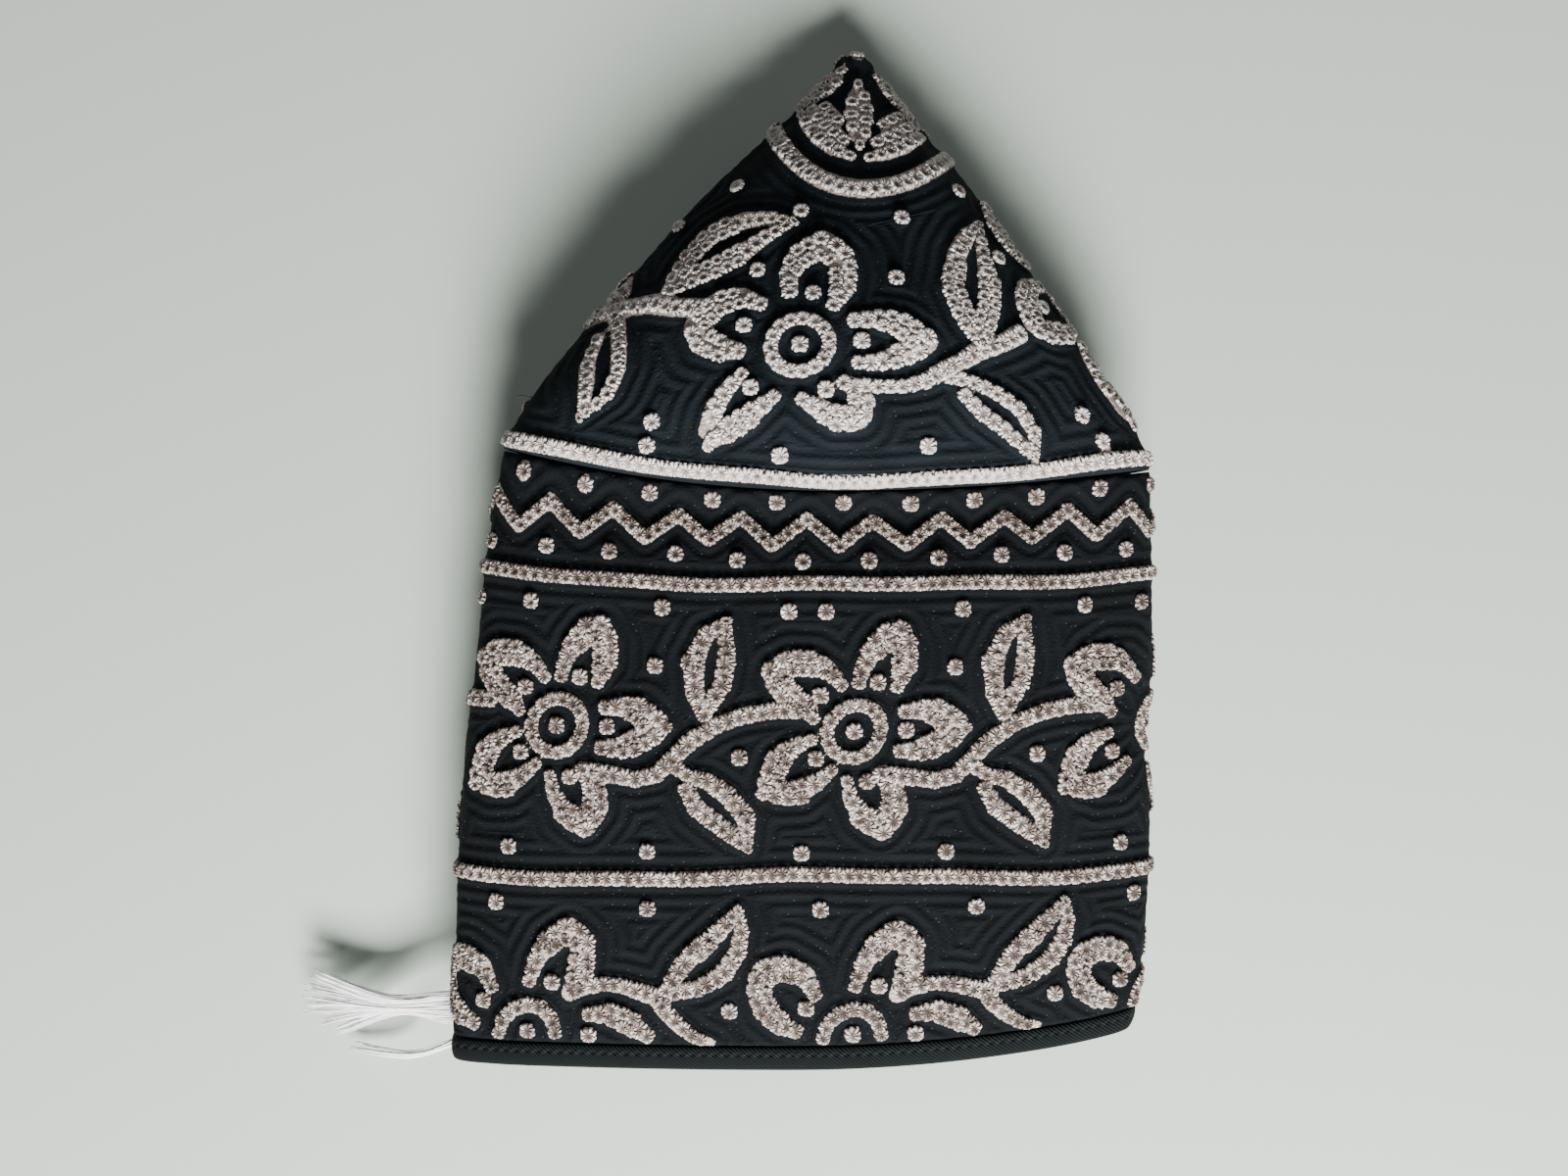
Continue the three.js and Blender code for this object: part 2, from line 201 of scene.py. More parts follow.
# The embroidered figures, in millimetres on the flat cloth, from the middle of a flower. Each is a list of
# strokes, and each stroke a list of places along its middle with its width there. A dot is a stroke of one
# place.
FLOWER_RING = [(5.3 * np.cos(a), 5.3 * np.sin(a), 3.0) for a in np.linspace(0, 2 * np.pi, 17)]
BAND_FLOWER = [
    [(-0.4, 9.6, 3.0), (0.1, 12.6, 3.6), (2.0, 15.9, 4.6), (4.6, 18.4, 5.6), (7.0, 18.9, 5.6),
     (8.2, 16.4, 5.2), (8.3, 12.6, 5.0), (7.2, 8.8, 3.0)],
    [(9.4, 3.9, 3.2), (12.1, 4.2, 4.0), (16.3, 3.6, 5.2), (20.0, 0.4, 6.2), (16.3, -2.9, 5.0),
     (12.5, -3.9, 4.2), (9.5, -3.9, 3.2)],
    [(-1.0, -9.7, 2.6), (-0.4, -13.2, 3.4), (2.0, -17.0, 4.6), (5.6, -18.9, 5.6), (8.2, -15.9, 5.2),
     (8.1, -11.8, 4.8), (5.7, -8.1, 3.2), (10.6, -9.0, 3.8), (16.3, -9.9, 3.6), (20.5, -9.0, 3.6),
     (23.8, -5.7, 3.6), (27.5, -2.0, 3.8), (32.2, 1.1, 3.6), (36.9, 3.0, 3.6), (42.6, 4.1, 3.6),
     (49.2, 4.3, 3.6)],
    [(-3.8, 9.2, 2.8), (-6.1, 11.7, 3.8), (-9.9, 13.4, 5.0), (-14.1, 13.4, 5.4), (-16.9, 11.6, 5.6),
     (-15.5, 8.9, 5.2), (-12.7, 6.3, 4.8), (-9.6, 4.1, 4.0), (-8.3, 2.6, 2.8)],
    [(-8.2, -1.6, 2.6), (-11.5, -2.9, 3.8), (-14.6, -5.9, 5.0), (-16.0, -9.9, 5.2), (-14.2, -12.2, 5.0),
     (-10.4, -12.0, 4.8), (-6.8, -9.9, 3.8), (-3.9, -7.6, 2.6)],
    [(29.4, 3.2, 3.4), (26.8, 7.4, 4.0), (25.9, 13.5, 4.4), (28.2, 18.7, 3.8), (32.4, 21.8, 1.6),
     (32.2, 18.2, 3.4), (32.6, 14.0, 4.0), (32.0, 9.0, 4.0), (30.2, 5.2, 3.8)],
    [(24.9, -7.6, 3.2), (27.0, -9.0, 3.0), (30.8, -10.0, 3.8), (35.0, -12.9, 4.2), (38.3, -17.0, 4.2),
     (39.0, -23.6, 1.6), (36.4, -21.2, 3.6), (32.2, -18.2, 4.0), (28.5, -15.4, 4.0), (26.4, -11.6, 3.2)],
    FLOWER_RING,
    [(19.4, 0.4, 5.4), (22.2, 0.5, 2.4)],
    [(-16.4, 11.6, 4.8), (-17.8, 12.9, 2.8)],
    [(-15.6, -10.8, 4.6), (-17.5, -12.3, 2.8)],
]
BAND_DOTS = [(0, 0), (3.4, 9.6), (10.3, 0.2), (3.0, -9.9), (-7.6, 7.1), (-7.1, -5.4), (-7.6, 23.6),
             (19.4, 23.8), (44.4, 23.6), (18.4, 12.4), (37.2, -5.2), (18.8, -24.2), (-9.8, -24.2)]
BAND_FLOWERS, BAND_ROW = 9.1 + ROUND / 9 * np.array([-0.96, 0, 1.05, 2, 3, 4, 5, 6, 7]), 71.2
HEM_FLOWER = [
    [(-5.9, -0.6, 3.0), (-5.3, 2.2, 3.2), (-3.3, 4.3, 3.4), (-0.4, 5.3, 3.4), (2.5, 4.8, 3.4),
     (4.7, 2.8, 3.2), (5.7, -0.2, 3.0)],
    [(-0.3, 10.0, 3.0), (0.8, 14.0, 3.8), (3.5, 18.1, 4.8), (7.6, 20.6, 5.4), (10.3, 18.4, 5.2),
     (10.3, 14.8, 5.4), (10.1, 11.2, 5.6), (8.3, 8.0, 4.0), (8.9, 8.6, 4.0), (14.6, 10.0, 3.2),
     (18.8, 9.7, 3.4), (22.9, 8.5, 3.8), (26.4, 7.5, 4.4), (27.4, 5.0, 3.6), (30.6, 2.0, 3.4),
     (34.2, -0.6, 3.0), (37.8, -1.6, 1.8)],
    [(27.9, 9.2, 3.6), (30.6, 14.2, 4.2), (34.8, 18.3, 4.4), (38.6, 22.2, 3.8), (41.4, 25.8, 1.8),
     (42.2, 21.4, 3.2), (41.4, 16.8, 4.0), (38.8, 12.4, 4.2), (34.2, 9.6, 3.8), (29.6, 8.7, 3.6)],
    [(12.4, 3.8, 3.4), (16.5, 4.0, 4.4), (20.6, 2.4, 5.0), (24.4, -0.3, 3.4)],
    [(-8.2, 8.5, 3.2), (-10.4, 12.2, 4.4), (-14.6, 13.9, 5.4), (-18.9, 12.8, 5.2), (-19.4, 9.0, 4.8),
     (-17.6, 5.0, 4.8), (-14.2, 2.2, 4.4), (-11.6, 1.0, 3.4)],
]
HEM_DOTS = [(0, 0), (4.4, 10.0), (12.6, -0.4), (-9.8, 5.6), (40.6, 5.0), (-8.0, 25.6), (23.2, 25.4)]
HEM_FLOWERS, HEM_ROW = np.concatenate([[-54.2, 11.4], np.linspace(75.8, ROUND - 121.2, 6)]), 10.1
ZIGZAG_REPEATS, ZIGZAG_FIRST, ZIGZAG_WIDTH = 43, -3.2, 2.9
# The zigzag's upper and lower corners, the dots over and under them, and what of the band has none of these.
ZIGZAG_TOP, ZIGZAG_FOOT, DOTS_TOP, DOTS_FOOT, PLAIN_UP_TO = 113.0, 107.9, 116.2, 105.0, 101
STRIPES = [(41.6, 3.3, 0.8), (100.0, 3.1, 0.0)]
DOT_WIDTH = 3.3


def zigzag_strokes():
    """The zigzag between the band's upper stripe and its seam, a little uneven as hand work is, with its
    dots."""
    rng = np.random.default_rng(11)
    pitch = ROUND / ZIGZAG_REPEATS
    corners, dots = [], []
    for k in range(ZIGZAG_REPEATS):
        x = ZIGZAG_FIRST + k * pitch
        dx, dy = rng.uniform(-0.5, 0.5, 2), rng.uniform(-0.4, 0.4, 2)
        high, low = x + dx[0], x + pitch / 2 + dx[1]
        corners += [(high, ZIGZAG_TOP + dy[0], ZIGZAG_WIDTH), (low, ZIGZAG_FOOT + dy[1], ZIGZAG_WIDTH)]
        dots += [(high, DOTS_FOOT + dy[1]), (low, DOTS_TOP + dy[0])]
    corners.append((corners[0][0] + ROUND, *corners[0][1:]))
    return [corners], dots


FAR_OUTSIDE = -99.0


def inside(x, y, strokes):
    """How far inside the strokes each place lies, in millimetres, or outside where it is negative."""
    depth = np.full(x.shape, FAR_OUTSIDE)
    for stroke in strokes:
        ends = list(zip(stroke[:-1], stroke[1:])) or [(stroke[0], stroke[0])]
        for (ax, ay, aw), (bx, by, bw) in ends:
            dx, dy = bx - ax, by - ay
            t = np.clip(((x - ax) * dx + (y - ay) * dy) / max(dx * dx + dy * dy, 1e-9), 0, 1)
            depth = np.maximum(depth, (aw + (bw - aw) * t) / 2 - np.hypot(x - ax - dx * t, y - ay - dy * t))
    return depth


def dot_strokes(dots):
    return [[(x, y, DOT_WIDTH)] for x, y in dots]


def uneven(strokes, flower, table):
    """A flower's strokes, of which the table's are moved: each row is a flower, one of its strokes, and how
    far that stroke is moved where it starts and where it ends."""
    strokes = list(strokes)
    for which, index, start, end in table:
        if which == flower:
            shares = np.linspace(0, 1, len(strokes[index]))[:, None]
            shift = np.array(start) * (1 - shares) + np.array(end) * shares
            strokes[index] = [(x + dx, y + dy, w) for (x, y, w), (dx, dy) in zip(strokes[index], shift)]
    return strokes


# The third flower of the band reaches further to the left.
BAND_UNEVEN = [(2, index, (-4.6, 0.0), (-4.6, 0.0)) for index in (3, 4, 9, 10, 15, 16)]


def stripe_wave(around, bow=0.0):
    """The stripes run a little unevenly round the cap, and may bow away from the hem in the middle of each
    side."""
    turn = around * 2 * np.pi / ROUND
    return 0.3 * np.sin(7 * turn + 1.0) + 0.2 * np.sin(16 * turn + 2.2) + bow * np.cos(4 * turn)


ZIGZAG, ZIGZAG_DOTS = zigzag_strokes()
# How far a flower with its leaves reaches, to its left, to its right, and towards the hem or the crown.
REACH_LEFT, REACH_RIGHT, REACH_UP = 30, 62, 29


def band_figures(kind, k, dotted=True):
    """The strokes of one of the band's flowers, or of the half flowers at its hem, with its leaves and
    dots."""
    strokes, dots = (BAND_FLOWER, BAND_DOTS) if kind == "band" else (HEM_FLOWER, HEM_DOTS)
    if dotted:
        return uneven(strokes + dot_strokes(dots), k, BAND_UNEVEN if kind == "band" else [])
    return strokes


def band_depth(around, out, dotted):
    """How far inside the band's embroidery each place of the flat cloth lies, with or without its dots."""
    depth = np.full(around.shape, FAR_OUTSIDE)
    for kind, flowers, row in (("band", BAND_FLOWERS, BAND_ROW), ("hem", HEM_FLOWERS, HEM_ROW)):
        for k, flower in enumerate(flowers):
            x = (around - flower + REACH_LEFT) % ROUND - REACH_LEFT
            near = (x < REACH_RIGHT) & (abs(out - row) < REACH_UP)
            found = inside(x[near], out[near] - row, band_figures(kind, k, dotted))
            depth[near] = np.maximum(depth[near], found)
    near = out > PLAIN_UP_TO
    folded = (around[near] - ZIGZAG_FIRST) % ROUND + ZIGZAG_FIRST
    zigzag = ZIGZAG + dot_strokes(ZIGZAG_DOTS) * dotted
    depth[near] = np.maximum(depth[near], inside(folded, out[near], zigzag))
    for height, width, bow in STRIPES:
        depth = np.maximum(depth, width / 2 - abs(out - height - stripe_wave(around, bow)))
    return depth


# The quilting's pitch, and how high the embroidery and the quilting stand up.
CHANNEL, RAISED, QUILTED = 2.6, 0.35, 0.075
# The cloth's under side is pressed flat by the floor at this height, and its lining has no embroidery near
# it.
RESTS_AT, LINING = 0.1, -6.0


def cloth_relief(depth, lines):
    """Embroidered cloth stands up a little, and the plain cloth is quilted in channels along the figures."""
    raised = RAISED * np.clip(depth / 1.2 + 0.5, 0, 1)
    return raised + QUILTED * np.cos(lines * 2 * np.pi / CHANNEL) * np.clip(-depth - 0.5, 0, 1)


def smooth_mesh(name, places, faces):
    """A mesh from places in millimetres, and the vertex at each of its faces' corners."""
    mesh = bpy.data.meshes.new(name)
    mesh.from_pydata(places * MM, [], faces)
    mesh.shade_smooth()
    corner = np.zeros(len(mesh.loops), dtype=np.int32)
    mesh.loops.foreach_get("vertex_index", corner)
    return mesh, corner


def mark(mesh, key, values):
    """A number for each vertex, which a material reads by this name."""
    mesh.attributes.new(key, "FLOAT", "POINT").data.foreach_set("value", values.astype(np.float32))


def lay_flat(mesh, key, spots):
    """A UV map with these places for the faces' corners."""
    mesh.uv_layers.new(name=key).data.foreach_set("uv", spots.astype(np.float32).ravel())


def linked(name, data):
    """An object in the scene with this data."""
    made = bpy.data.objects.new(name, data)
    bpy.context.scene.collection.objects.link(made)
    return made


def sewn_cloth(name, outer, inner, flat, inner_at, depth, lines, ends=()):
    """A mesh of cloth with both of its faces and its edges, its flat places as a UV map, and as attributes
    the depth inside the embroidery and the same without the dots, which the quilting lines follow. The inner
    face has these of the outer face's lines. Where the cloth closes over a point, both faces end there."""
    rows, count = outer.shape[:2]
    inner_rows = inner.shape[0]
    places = [outer.reshape(-1, 3), inner.reshape(-1, 3)]
    turn = np.arange(count)
    after = (turn + 1) % count

    def strip(low, high, flip):
        quad = np.stack([low + turn, low + after, high + after, high + turn], axis=1)
        return quad[:, ::-1] if flip else quad

    start = rows * count
    quads = [strip(j * count, (j + 1) * count, False) for j in range(rows - 1)]
    quads += [strip(start + j * count, start + (j + 1) * count, True) for j in range(inner_rows - 1)]
    quads.append(strip(0, start, True))
    faces = [tuple(face) for face in np.concatenate(quads)]
    last, last_inner = (rows - 1) * count, start + (inner_rows - 1) * count
    if not len(ends):
        faces += [tuple(face) for face in strip(last, last_inner, False)]
    else:
        places.append(ends)
        at = start + inner_rows * count
        faces += [(last + i, last + j, at) for i, j in zip(turn, after)]
        faces += [(last_inner + j, last_inner + i, at + 1) for i, j in zip(turn, after)]
    mesh, corner = smooth_mesh(name, np.concatenate(places), faces)
    spots = [flat.reshape(-1, 2), flat[inner_at].reshape(-1, 2), np.zeros((len(ends), 2))]
    flat = np.concatenate(spots)[corner]
    first = np.zeros(len(mesh.polygons), dtype=np.int32)
    size = np.zeros(len(mesh.polygons), dtype=np.int32)
    mesh.polygons.foreach_get("loop_start", first)
    mesh.polygons.foreach_get("loop_total", size)
    reach = np.maximum.reduceat(flat[:, 0], first) - np.minimum.reduceat(flat[:, 0], first)
    wraps = np.repeat(reach > ROUND / 2, size) & (flat[:, 0] < ROUND / 2)
    flat[wraps, 0] += ROUND
    lay_flat(mesh, "flat_cloth", flat / 100)
    lining = np.full(inner_rows * count + len(ends), LINING)
    mark(mesh, "stitched", np.concatenate([depth.ravel(), lining]))
    mark(mesh, "quilting", np.concatenate([lines.ravel(), lining]))
    return linked(name, mesh)


class Sums:
    """A shader value, so that sums on it are written as Python's own."""

    def __init__(self, tree, socket):
        self.tree, self.socket = tree, socket

    def maths(self, operation, *values):
        node = self.tree.nodes.new("ShaderNodeMath")
        node.operation = operation
        for slot, value in zip(node.inputs, values):
            if isinstance(value, Sums):
                self.tree.links.new(value.socket, slot)
            else:
                slot.default_value = value
        return Sums(self.tree, node.outputs[0])

    def __add__(self, other):
        return self.maths("ADD", self, other)

    def __sub__(self, other):
        return self.maths("SUBTRACT", self, other)

    def __mul__(self, other):
        return self.maths("MULTIPLY", self, other)

    def __rsub__(self, other):
        return self.maths("SUBTRACT", other, self)

    __radd__, __rmul__ = __add__, __mul__

    def sine(self):
        return self.maths("SINE", self)

    def cosine(self):
        return self.maths("COSINE", self)

    def absolute(self):
        return self.maths("ABSOLUTE", self)

    def clamped(self, low=0.0, high=1.0):
        return self.maths("MINIMUM", self.maths("MAXIMUM", self, low), high)


class Finish:
    """A material for one of the cap's pieces, built from its nodes."""

    def __init__(self, name, roughness, sheen, specular=0.25):
        self.material = bpy.data.materials.new(name)
        self.material.use_nodes = True
        self.tree = self.material.node_tree
        self.shader = self.tree.nodes["Principled BSDF"]
        self.shader.inputs["Roughness"].default_value = roughness
        self.shader.inputs["Sheen Weight"].default_value = sheen
        self.shader.inputs["Sheen Roughness"].default_value = 0.5
        self.shader.inputs["Specular IOR Level"].default_value = specular

    def node(self, kind, settings=None, output=0, **values):
        """One node, with its settings first and then the values or links of its sockets."""
        made = self.tree.nodes.new(kind)
        for key, value in (settings or {}).items():
            setattr(made, key, value)
        for key, value in values.items():
            self.put(made.inputs[key.replace("_", " ")], value)
        return Sums(self.tree, made.outputs[output])

    def put(self, slot, value):
        if isinstance(value, Sums):
            self.tree.links.new(value.socket, slot)
        else:
            slot.default_value = value

    def blend(self, share, first, second):
        made = self.tree.nodes.new("ShaderNodeMix")
        made.data_type = "RGBA"
        for index, value in ((0, share), (6, first), (7, second)):
            self.put(made.inputs[index], value)
        return Sums(self.tree, made.outputs[2])

    def parts(self, vector):
        """The first two numbers of a vector."""
        return [self.node("ShaderNodeSeparateXYZ", output=k, Vector=vector) for k in (0, 1)]

    def bump(self, height, distance):
        made = self.node("ShaderNodeBump", Height=height, Distance=distance)
        self.put(self.shader.inputs["Normal"], made)

    def colour(self, value):
        self.put(self.shader.inputs["Base Color"], value)


def black_cotton(name, share):
    """Black cotton, blue in its shadows: quilting channels that follow the embroidery, with painted highlight
    on their ridges, a row of needle holes in each drawn as small pale specks, a fine weave, and cream thread
    under the embroidery. The share scales its blacks and paints light into them: the crown's copy is paler
    than the band's, to stand in for light that the lamps don't give it."""
    finish = Finish(name, 0.9, 0.0, specular=0.12)
    depth = finish.node("ShaderNodeAttribute", {"attribute_name": "stitched"}, output=2)
    lines = finish.node("ShaderNodeAttribute", {"attribute_name": "quilting"}, output=2)
    flat = finish.node("ShaderNodeUVMap", {"uv_map": "flat_cloth"})
    cloud = finish.node("ShaderNodeTexNoise", Vector=flat, Scale=7.0, Detail=4.0, Roughness=0.6)
    weave = finish.node("ShaderNodeTexNoise", Vector=flat, Scale=170.0, Detail=3.0, Roughness=0.7)
    holes = finish.node("ShaderNodeTexVoronoi", {"feature": "F1"}, Vector=flat, Scale=85.0, Randomness=0.7)
    channel = (lines * (2 * np.pi / CHANNEL)).cosine()
    plain = (depth * -2.5 - 0.6).clamped()
    speck = (1.0 - holes * 4.6).clamped() * (channel * -0.6 + 0.3).clamped() * plain
    # Random tone from the noise and the weave, with painted highlight on the quilting ridges from the channel
    # term.
    tone_and_ridge_highlight = (cloud * 1.3 - 0.3 + weave * 0.5 + channel * 0.12 - 0.25).clamped()
    # Painted light: the share scales the blacks, so a copy with a larger share is a paler, lit copy.
    black, grey = np.array([(0.0016, 0.0025, 0.0034), (0.0058, 0.0084, 0.0108)]) * share
    black = finish.blend(tone_and_ridge_highlight, (*black, 1), (*grey, 1))
    # Small pale specks in the channels' valleys, at the needle holes.
    pale_specked = finish.blend(speck * 0.8, black, (0.08, 0.1, 0.11, 1))
    thread = finish.blend((weave * 2.0 - 0.5).clamped(), (0.14, 0.1, 0.085, 1), (0.72, 0.6, 0.54, 1))
    finish.colour(finish.blend((depth * 5.0 + weave * 3.0 - 2.4).clamped(), pale_specked, thread))
    finish.bump(channel * 0.35 * plain + weave * 0.7 - speck * 0.9, 0.00045)
    return finish.material


BAND_COLUMNS = 640
band_rows = smooth_rows(BAND_LINES, 0, np.linspace(7.9, 118.2, 128))
band_outer, band_around = fold_flat(band_rows, WALL, 1, BAND_COLUMNS, band_round)
band_out = band_rows[:, 0]
band_flat = np.stack(np.broadcast_arrays(band_around[:, :-1], band_out[:, None]), axis=-1)
band_depths, band_lines = (band_depth(*np.moveaxis(band_flat, -1, 0), dotted) for dotted in (True, False))
band_normal = outward(band_outer)
band_face = band_outer + band_normal * cloth_relief(band_depths, band_lines)[..., None]
band_face[..., 2] = np.maximum(band_face[..., 2], RESTS_AT)
inner_at = np.linspace(0, len(band_rows) - 1, 14).round().astype(int)
band_inner, _ = fold_flat(band_rows[inner_at], WALL, -1, BAND_COLUMNS, band_round)
band = sewn_cloth("band_cloth", band_face, band_inner, band_flat, inner_at, band_depths, band_lines)
band.data.materials.append(black_cotton("band_black_cotton", 0.75))
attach(band, "root")
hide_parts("band")

# The crown
# One round piece of the same quilted cotton, 177 mm across, sewn to the band's upper edge. It is pushed out
# to a point at its middle, and its sides go down into the gussets with the band's.

TIP = np.array([12.3, 212.6 - HEM_TO_ORIGIN, 8.4])
CROWN_RADIUS = 88.4
# The same columns as the band's rows, in which the last number is the distance from the crown's middle.
CROWN_LINES = np.array([
    (118.6, -59.8, 72.2, 9.4, 5.0, 25.4, 34.3, 0.86),
    (119.4, -59.5, 72.1, 9.8, 5.2, 25.5, 37.7, 0.86),
    (121.4, -58.2, 71.4, 10.4, 5.8, 25.8, 40.1, 0.86),
    (127.0, -54.4, 67.6, 10.6, 7.4, 26.4, 41.2, 0.86),
    (134.0, -48.8, 61.8, 11.2, 9.4, 26.6, 41.8, 0.85),
    (147.6, -34.2, 52.3, 14.8, 9.8, 26.0, 40.4, 0.82),
    (161.4, -23.0, 43.1, 14.6, 10.2, 23.6, 35.8, 0.76),
    (175.2, -12.7, 34.4, 12.0, 9.8, 20.6, 30.4, 0.62),
    (190.0, -2.2, 25.8, 7.8, 6.2, 17.0, 23.4, 0.32),
    (200.6, 4.6, 20.2, 4.0, 3.0, 14.0, 17.6, 0.08),
    (208.2, 8.6, 16.4, 1.6, 1.2, 11.4, 13.2, 0.0),
])
CROWN_OUT = np.array([88.4, 87.4, 84.8, 78.8, 71.4, 57.4, 43.2, 29.4, 17.0, 9.4, 4.0])


def crown_round(values):
    """The crown's whole round in millimetres at this line, and where the front's middle comes in it."""
    middle = (values[1] + values[2]) / 2
    out = np.interp(values[0], CROWN_LINES[:, 0], CROWN_OUT)
    return 2 * np.pi * out, out * np.arctan2(middle - TIP[0], TIP[1] + HEM_TO_ORIGIN - values[0])


# The figures on the crown, in millimetres on the flat cloth: six flowers round a roundel. A flower's places
# are from its own middle, and the others' are from the crown's middle, with the front of the cap below it.
CROWN_FLOWER = [
    [(-1.9, 10.8, 3.4), (-2.1, 14.8, 4.0), (0.2, 18.4, 5.2), (4.4, 20.6, 6.2), (7.6, 17.6, 5.6),
     (8.0, 14.2, 5.2), (7.6, 10.6, 4.8), (6.1, 7.8, 3.2)],
    [(9.9, 4.4, 3.6), (14.4, 4.5, 4.2), (18.2, 3.4, 5.2), (22.2, 0.2, 6.0), (18.2, -2.7, 4.8),
     (14.0, -4.3, 3.8), (10.4, -4.2, 3.0)],
    [(-7.2, 8.6, 3.2), (-10.7, 10.2, 4.4), (-15.2, 9.4, 5.2), (-18.5, 6.2, 5.4), (-17.2, 3.0, 5.2),
     (-14.0, 0.8, 4.6), (-11.1, 0.0, 3.6)],
    [(-10.2, -4.3, 2.6), (-12.8, -6.7, 3.6), (-15.2, -10.3, 4.0), (-16.0, -14.2, 4.4), (-14.9, -16.6, 3.4),
     (-12.8, -15.0, 4.8), (-9.9, -13.4, 5.0), (-6.6, -11.1, 3.8), (-4.6, -9.6, 2.8)],
    [(0.3, -10.7, 2.8), (3.1, -12.9, 4.0), (6.9, -15.2, 5.0), (10.2, -15.2, 5.2), (10.9, -12.0, 4.8),
     (10.0, -9.3, 4.0), (7.6, -7.9, 3.0), (10.2, -8.8, 3.4), (14.4, -9.1, 2.9), (18.7, -9.0, 3.0),
     (22.5, -7.8, 3.4), (25.3, -5.8, 3.8), (29.6, -3.0, 3.8), (33.3, -0.1, 4.2), (37.1, 1.8, 3.8),
     (40.4, 4.6, 4.2)],
    [(33.3, 2.0, 4.4), (30.2, 6.5, 4.4), (28.3, 12.2, 4.6), (29.6, 19.1, 4.2), (32.0, 23.6, 3.6),
     (35.2, 27.4, 1.4), (35.0, 21.0, 3.4), (35.6, 15.0, 4.6), (35.2, 9.3, 4.4), (33.6, 4.0, 4.6)],
    [(27.2, -6.4, 3.4), (31.9, -7.2, 3.0), (36.2, -8.6, 3.2), (40.0, -10.6, 3.2), (42.4, -14.0, 3.2),
     (42.7, -19.8, 1.4), (40.0, -17.0, 3.0), (36.7, -14.8, 3.4), (32.9, -12.8, 3.4), (29.8, -9.8, 3.0)],
    FLOWER_RING,
    [(21.0, 0.2, 5.2), (24.2, 0.3, 2.4)],
    [(-15.0, -15.4, 4.0), (-16.4, -17.5, 2.4)],
]
CROWN_DOTS = [(0, 0), (2.4, 10.5), (11.1, 0.2), (-10.1, 4.7), (-8.7, -7.2), (4.6, -9.2), (-7.9, 15.7),
              (17.7, 13.4), (0.2, 28.0), (19.2, 26.2), (-26.0, -9.8), (-3.7, -21.6), (23.0, -20.4),
              (-27.0, -14.6)]
CROWN_FLOWER_AT = (-10.8, -58.5)
ROUNDEL_AT = (0.6, -2.0)
LENS = [(0.0, -4.0, 1.6), (0.0, -7.0, 4.8), (0.0, -9.4, 6.0), (0.0, -12.4, 4.6), (0.0, -15.2, 1.6)]
WEDGE = [
    [(-7.2, -15.5, 2.2), (-3.7, -16.3, 3.5), (0.0, -16.7, 3.8), (3.7, -16.3, 3.5), (7.2, -15.5, 2.2)],
    [(-4.4, -13.8, 3.0), (0.0, -14.1, 3.8), (4.6, -13.8, 3.0)],
    [(-1.6, -11.7, 3.0), (2.0, -11.7, 3.0)],
]


def turned(places, turn):
    c, s = np.cos(turn), np.sin(turn)
    return [(x * c - y * s, x * s + y * c, *width) for x, y, *width in places]


def moved(places, by):
    return [(x + by[0], y + by[1], *width) for x, y, *width in places]


def leaning(stroke):
    """The roundel is drawn a little out of round: further out at the front, and less far at the left."""
    made = []
    for x, y, *width in stroke:
        turn = np.arctan2(x, -y)
        share = 0.975 + 0.0915 * np.cos(2 * turn) + 0.112 * np.sin(turn)
        made.append((x * share, y * share, *width))
    return made


SIXTH = np.pi / 3
roundel_ring = leaning([(24.6 * np.sin(a), -24.6 * np.cos(a), 4.1) for a in np.linspace(0, 2 * np.pi, 49)])
roundel = [leaning(turned(LENS, k * SIXTH)) for k in range(6)]
roundel += [leaning(turned(stroke, (k + 0.5) * SIXTH)) for k in range(6) for stroke in WEDGE]
roundel = [moved(stroke, ROUNDEL_AT) for stroke in roundel] + [roundel_ring, [(*ROUNDEL_AT, 3.2)]]
SEAM_STRIPE, SEAM_STRIPE_WIDTH = 86.2, 3.5

# The crown's six flowers aren't drawn quite alike either.
CROWN_UNEVEN = [
    (5, 1, (-3.0, 0.5), (-3.0, 0.5)),
    (5, 4, (0.0, 0.0), (2.4, 3.4)),
    (5, 5, (3.0, 3.8), (3.0, 3.8)),
    (5, 6, (2.6, 4.2), (2.4, 3.4)),
    (1, 2, (2.6, 1.2), (2.6, 1.2)),
]


def crown_figures(k, dotted=True):
    """The strokes of one of the six flowers, with its leaves and dots, on the flat crown."""
    strokes = [turned(moved(stroke, CROWN_FLOWER_AT), k * SIXTH) for stroke in CROWN_FLOWER]
    dots = dot_strokes(CROWN_DOTS) * dotted
    return uneven(strokes, k, CROWN_UNEVEN) + [turned(moved(dot, CROWN_FLOWER_AT), k * SIXTH) for dot in dots]


def crown_depth(x, y, dotted):
    """How far inside the crown's embroidery each place of the flat cloth lies, with or without its dots."""
    out = np.hypot(x, y)
    depth = SEAM_STRIPE_WIDTH / 2 - abs(out - SEAM_STRIPE - stripe_wave(np.arctan2(x, -y) * CROWN_RADIUS))
    for k in range(6):
        side = np.cos(np.arctan2(x, -y) - k * SIXTH - 0.15)
        near = (side > 0.35) & (out > 24)
        depth[near] = np.maximum(depth[near], inside(x[near], y[near], crown_figures(k, dotted)))
    near = out < 34
    depth[near] = np.maximum(depth[near], inside(x[near], y[near], roundel))
    return depth


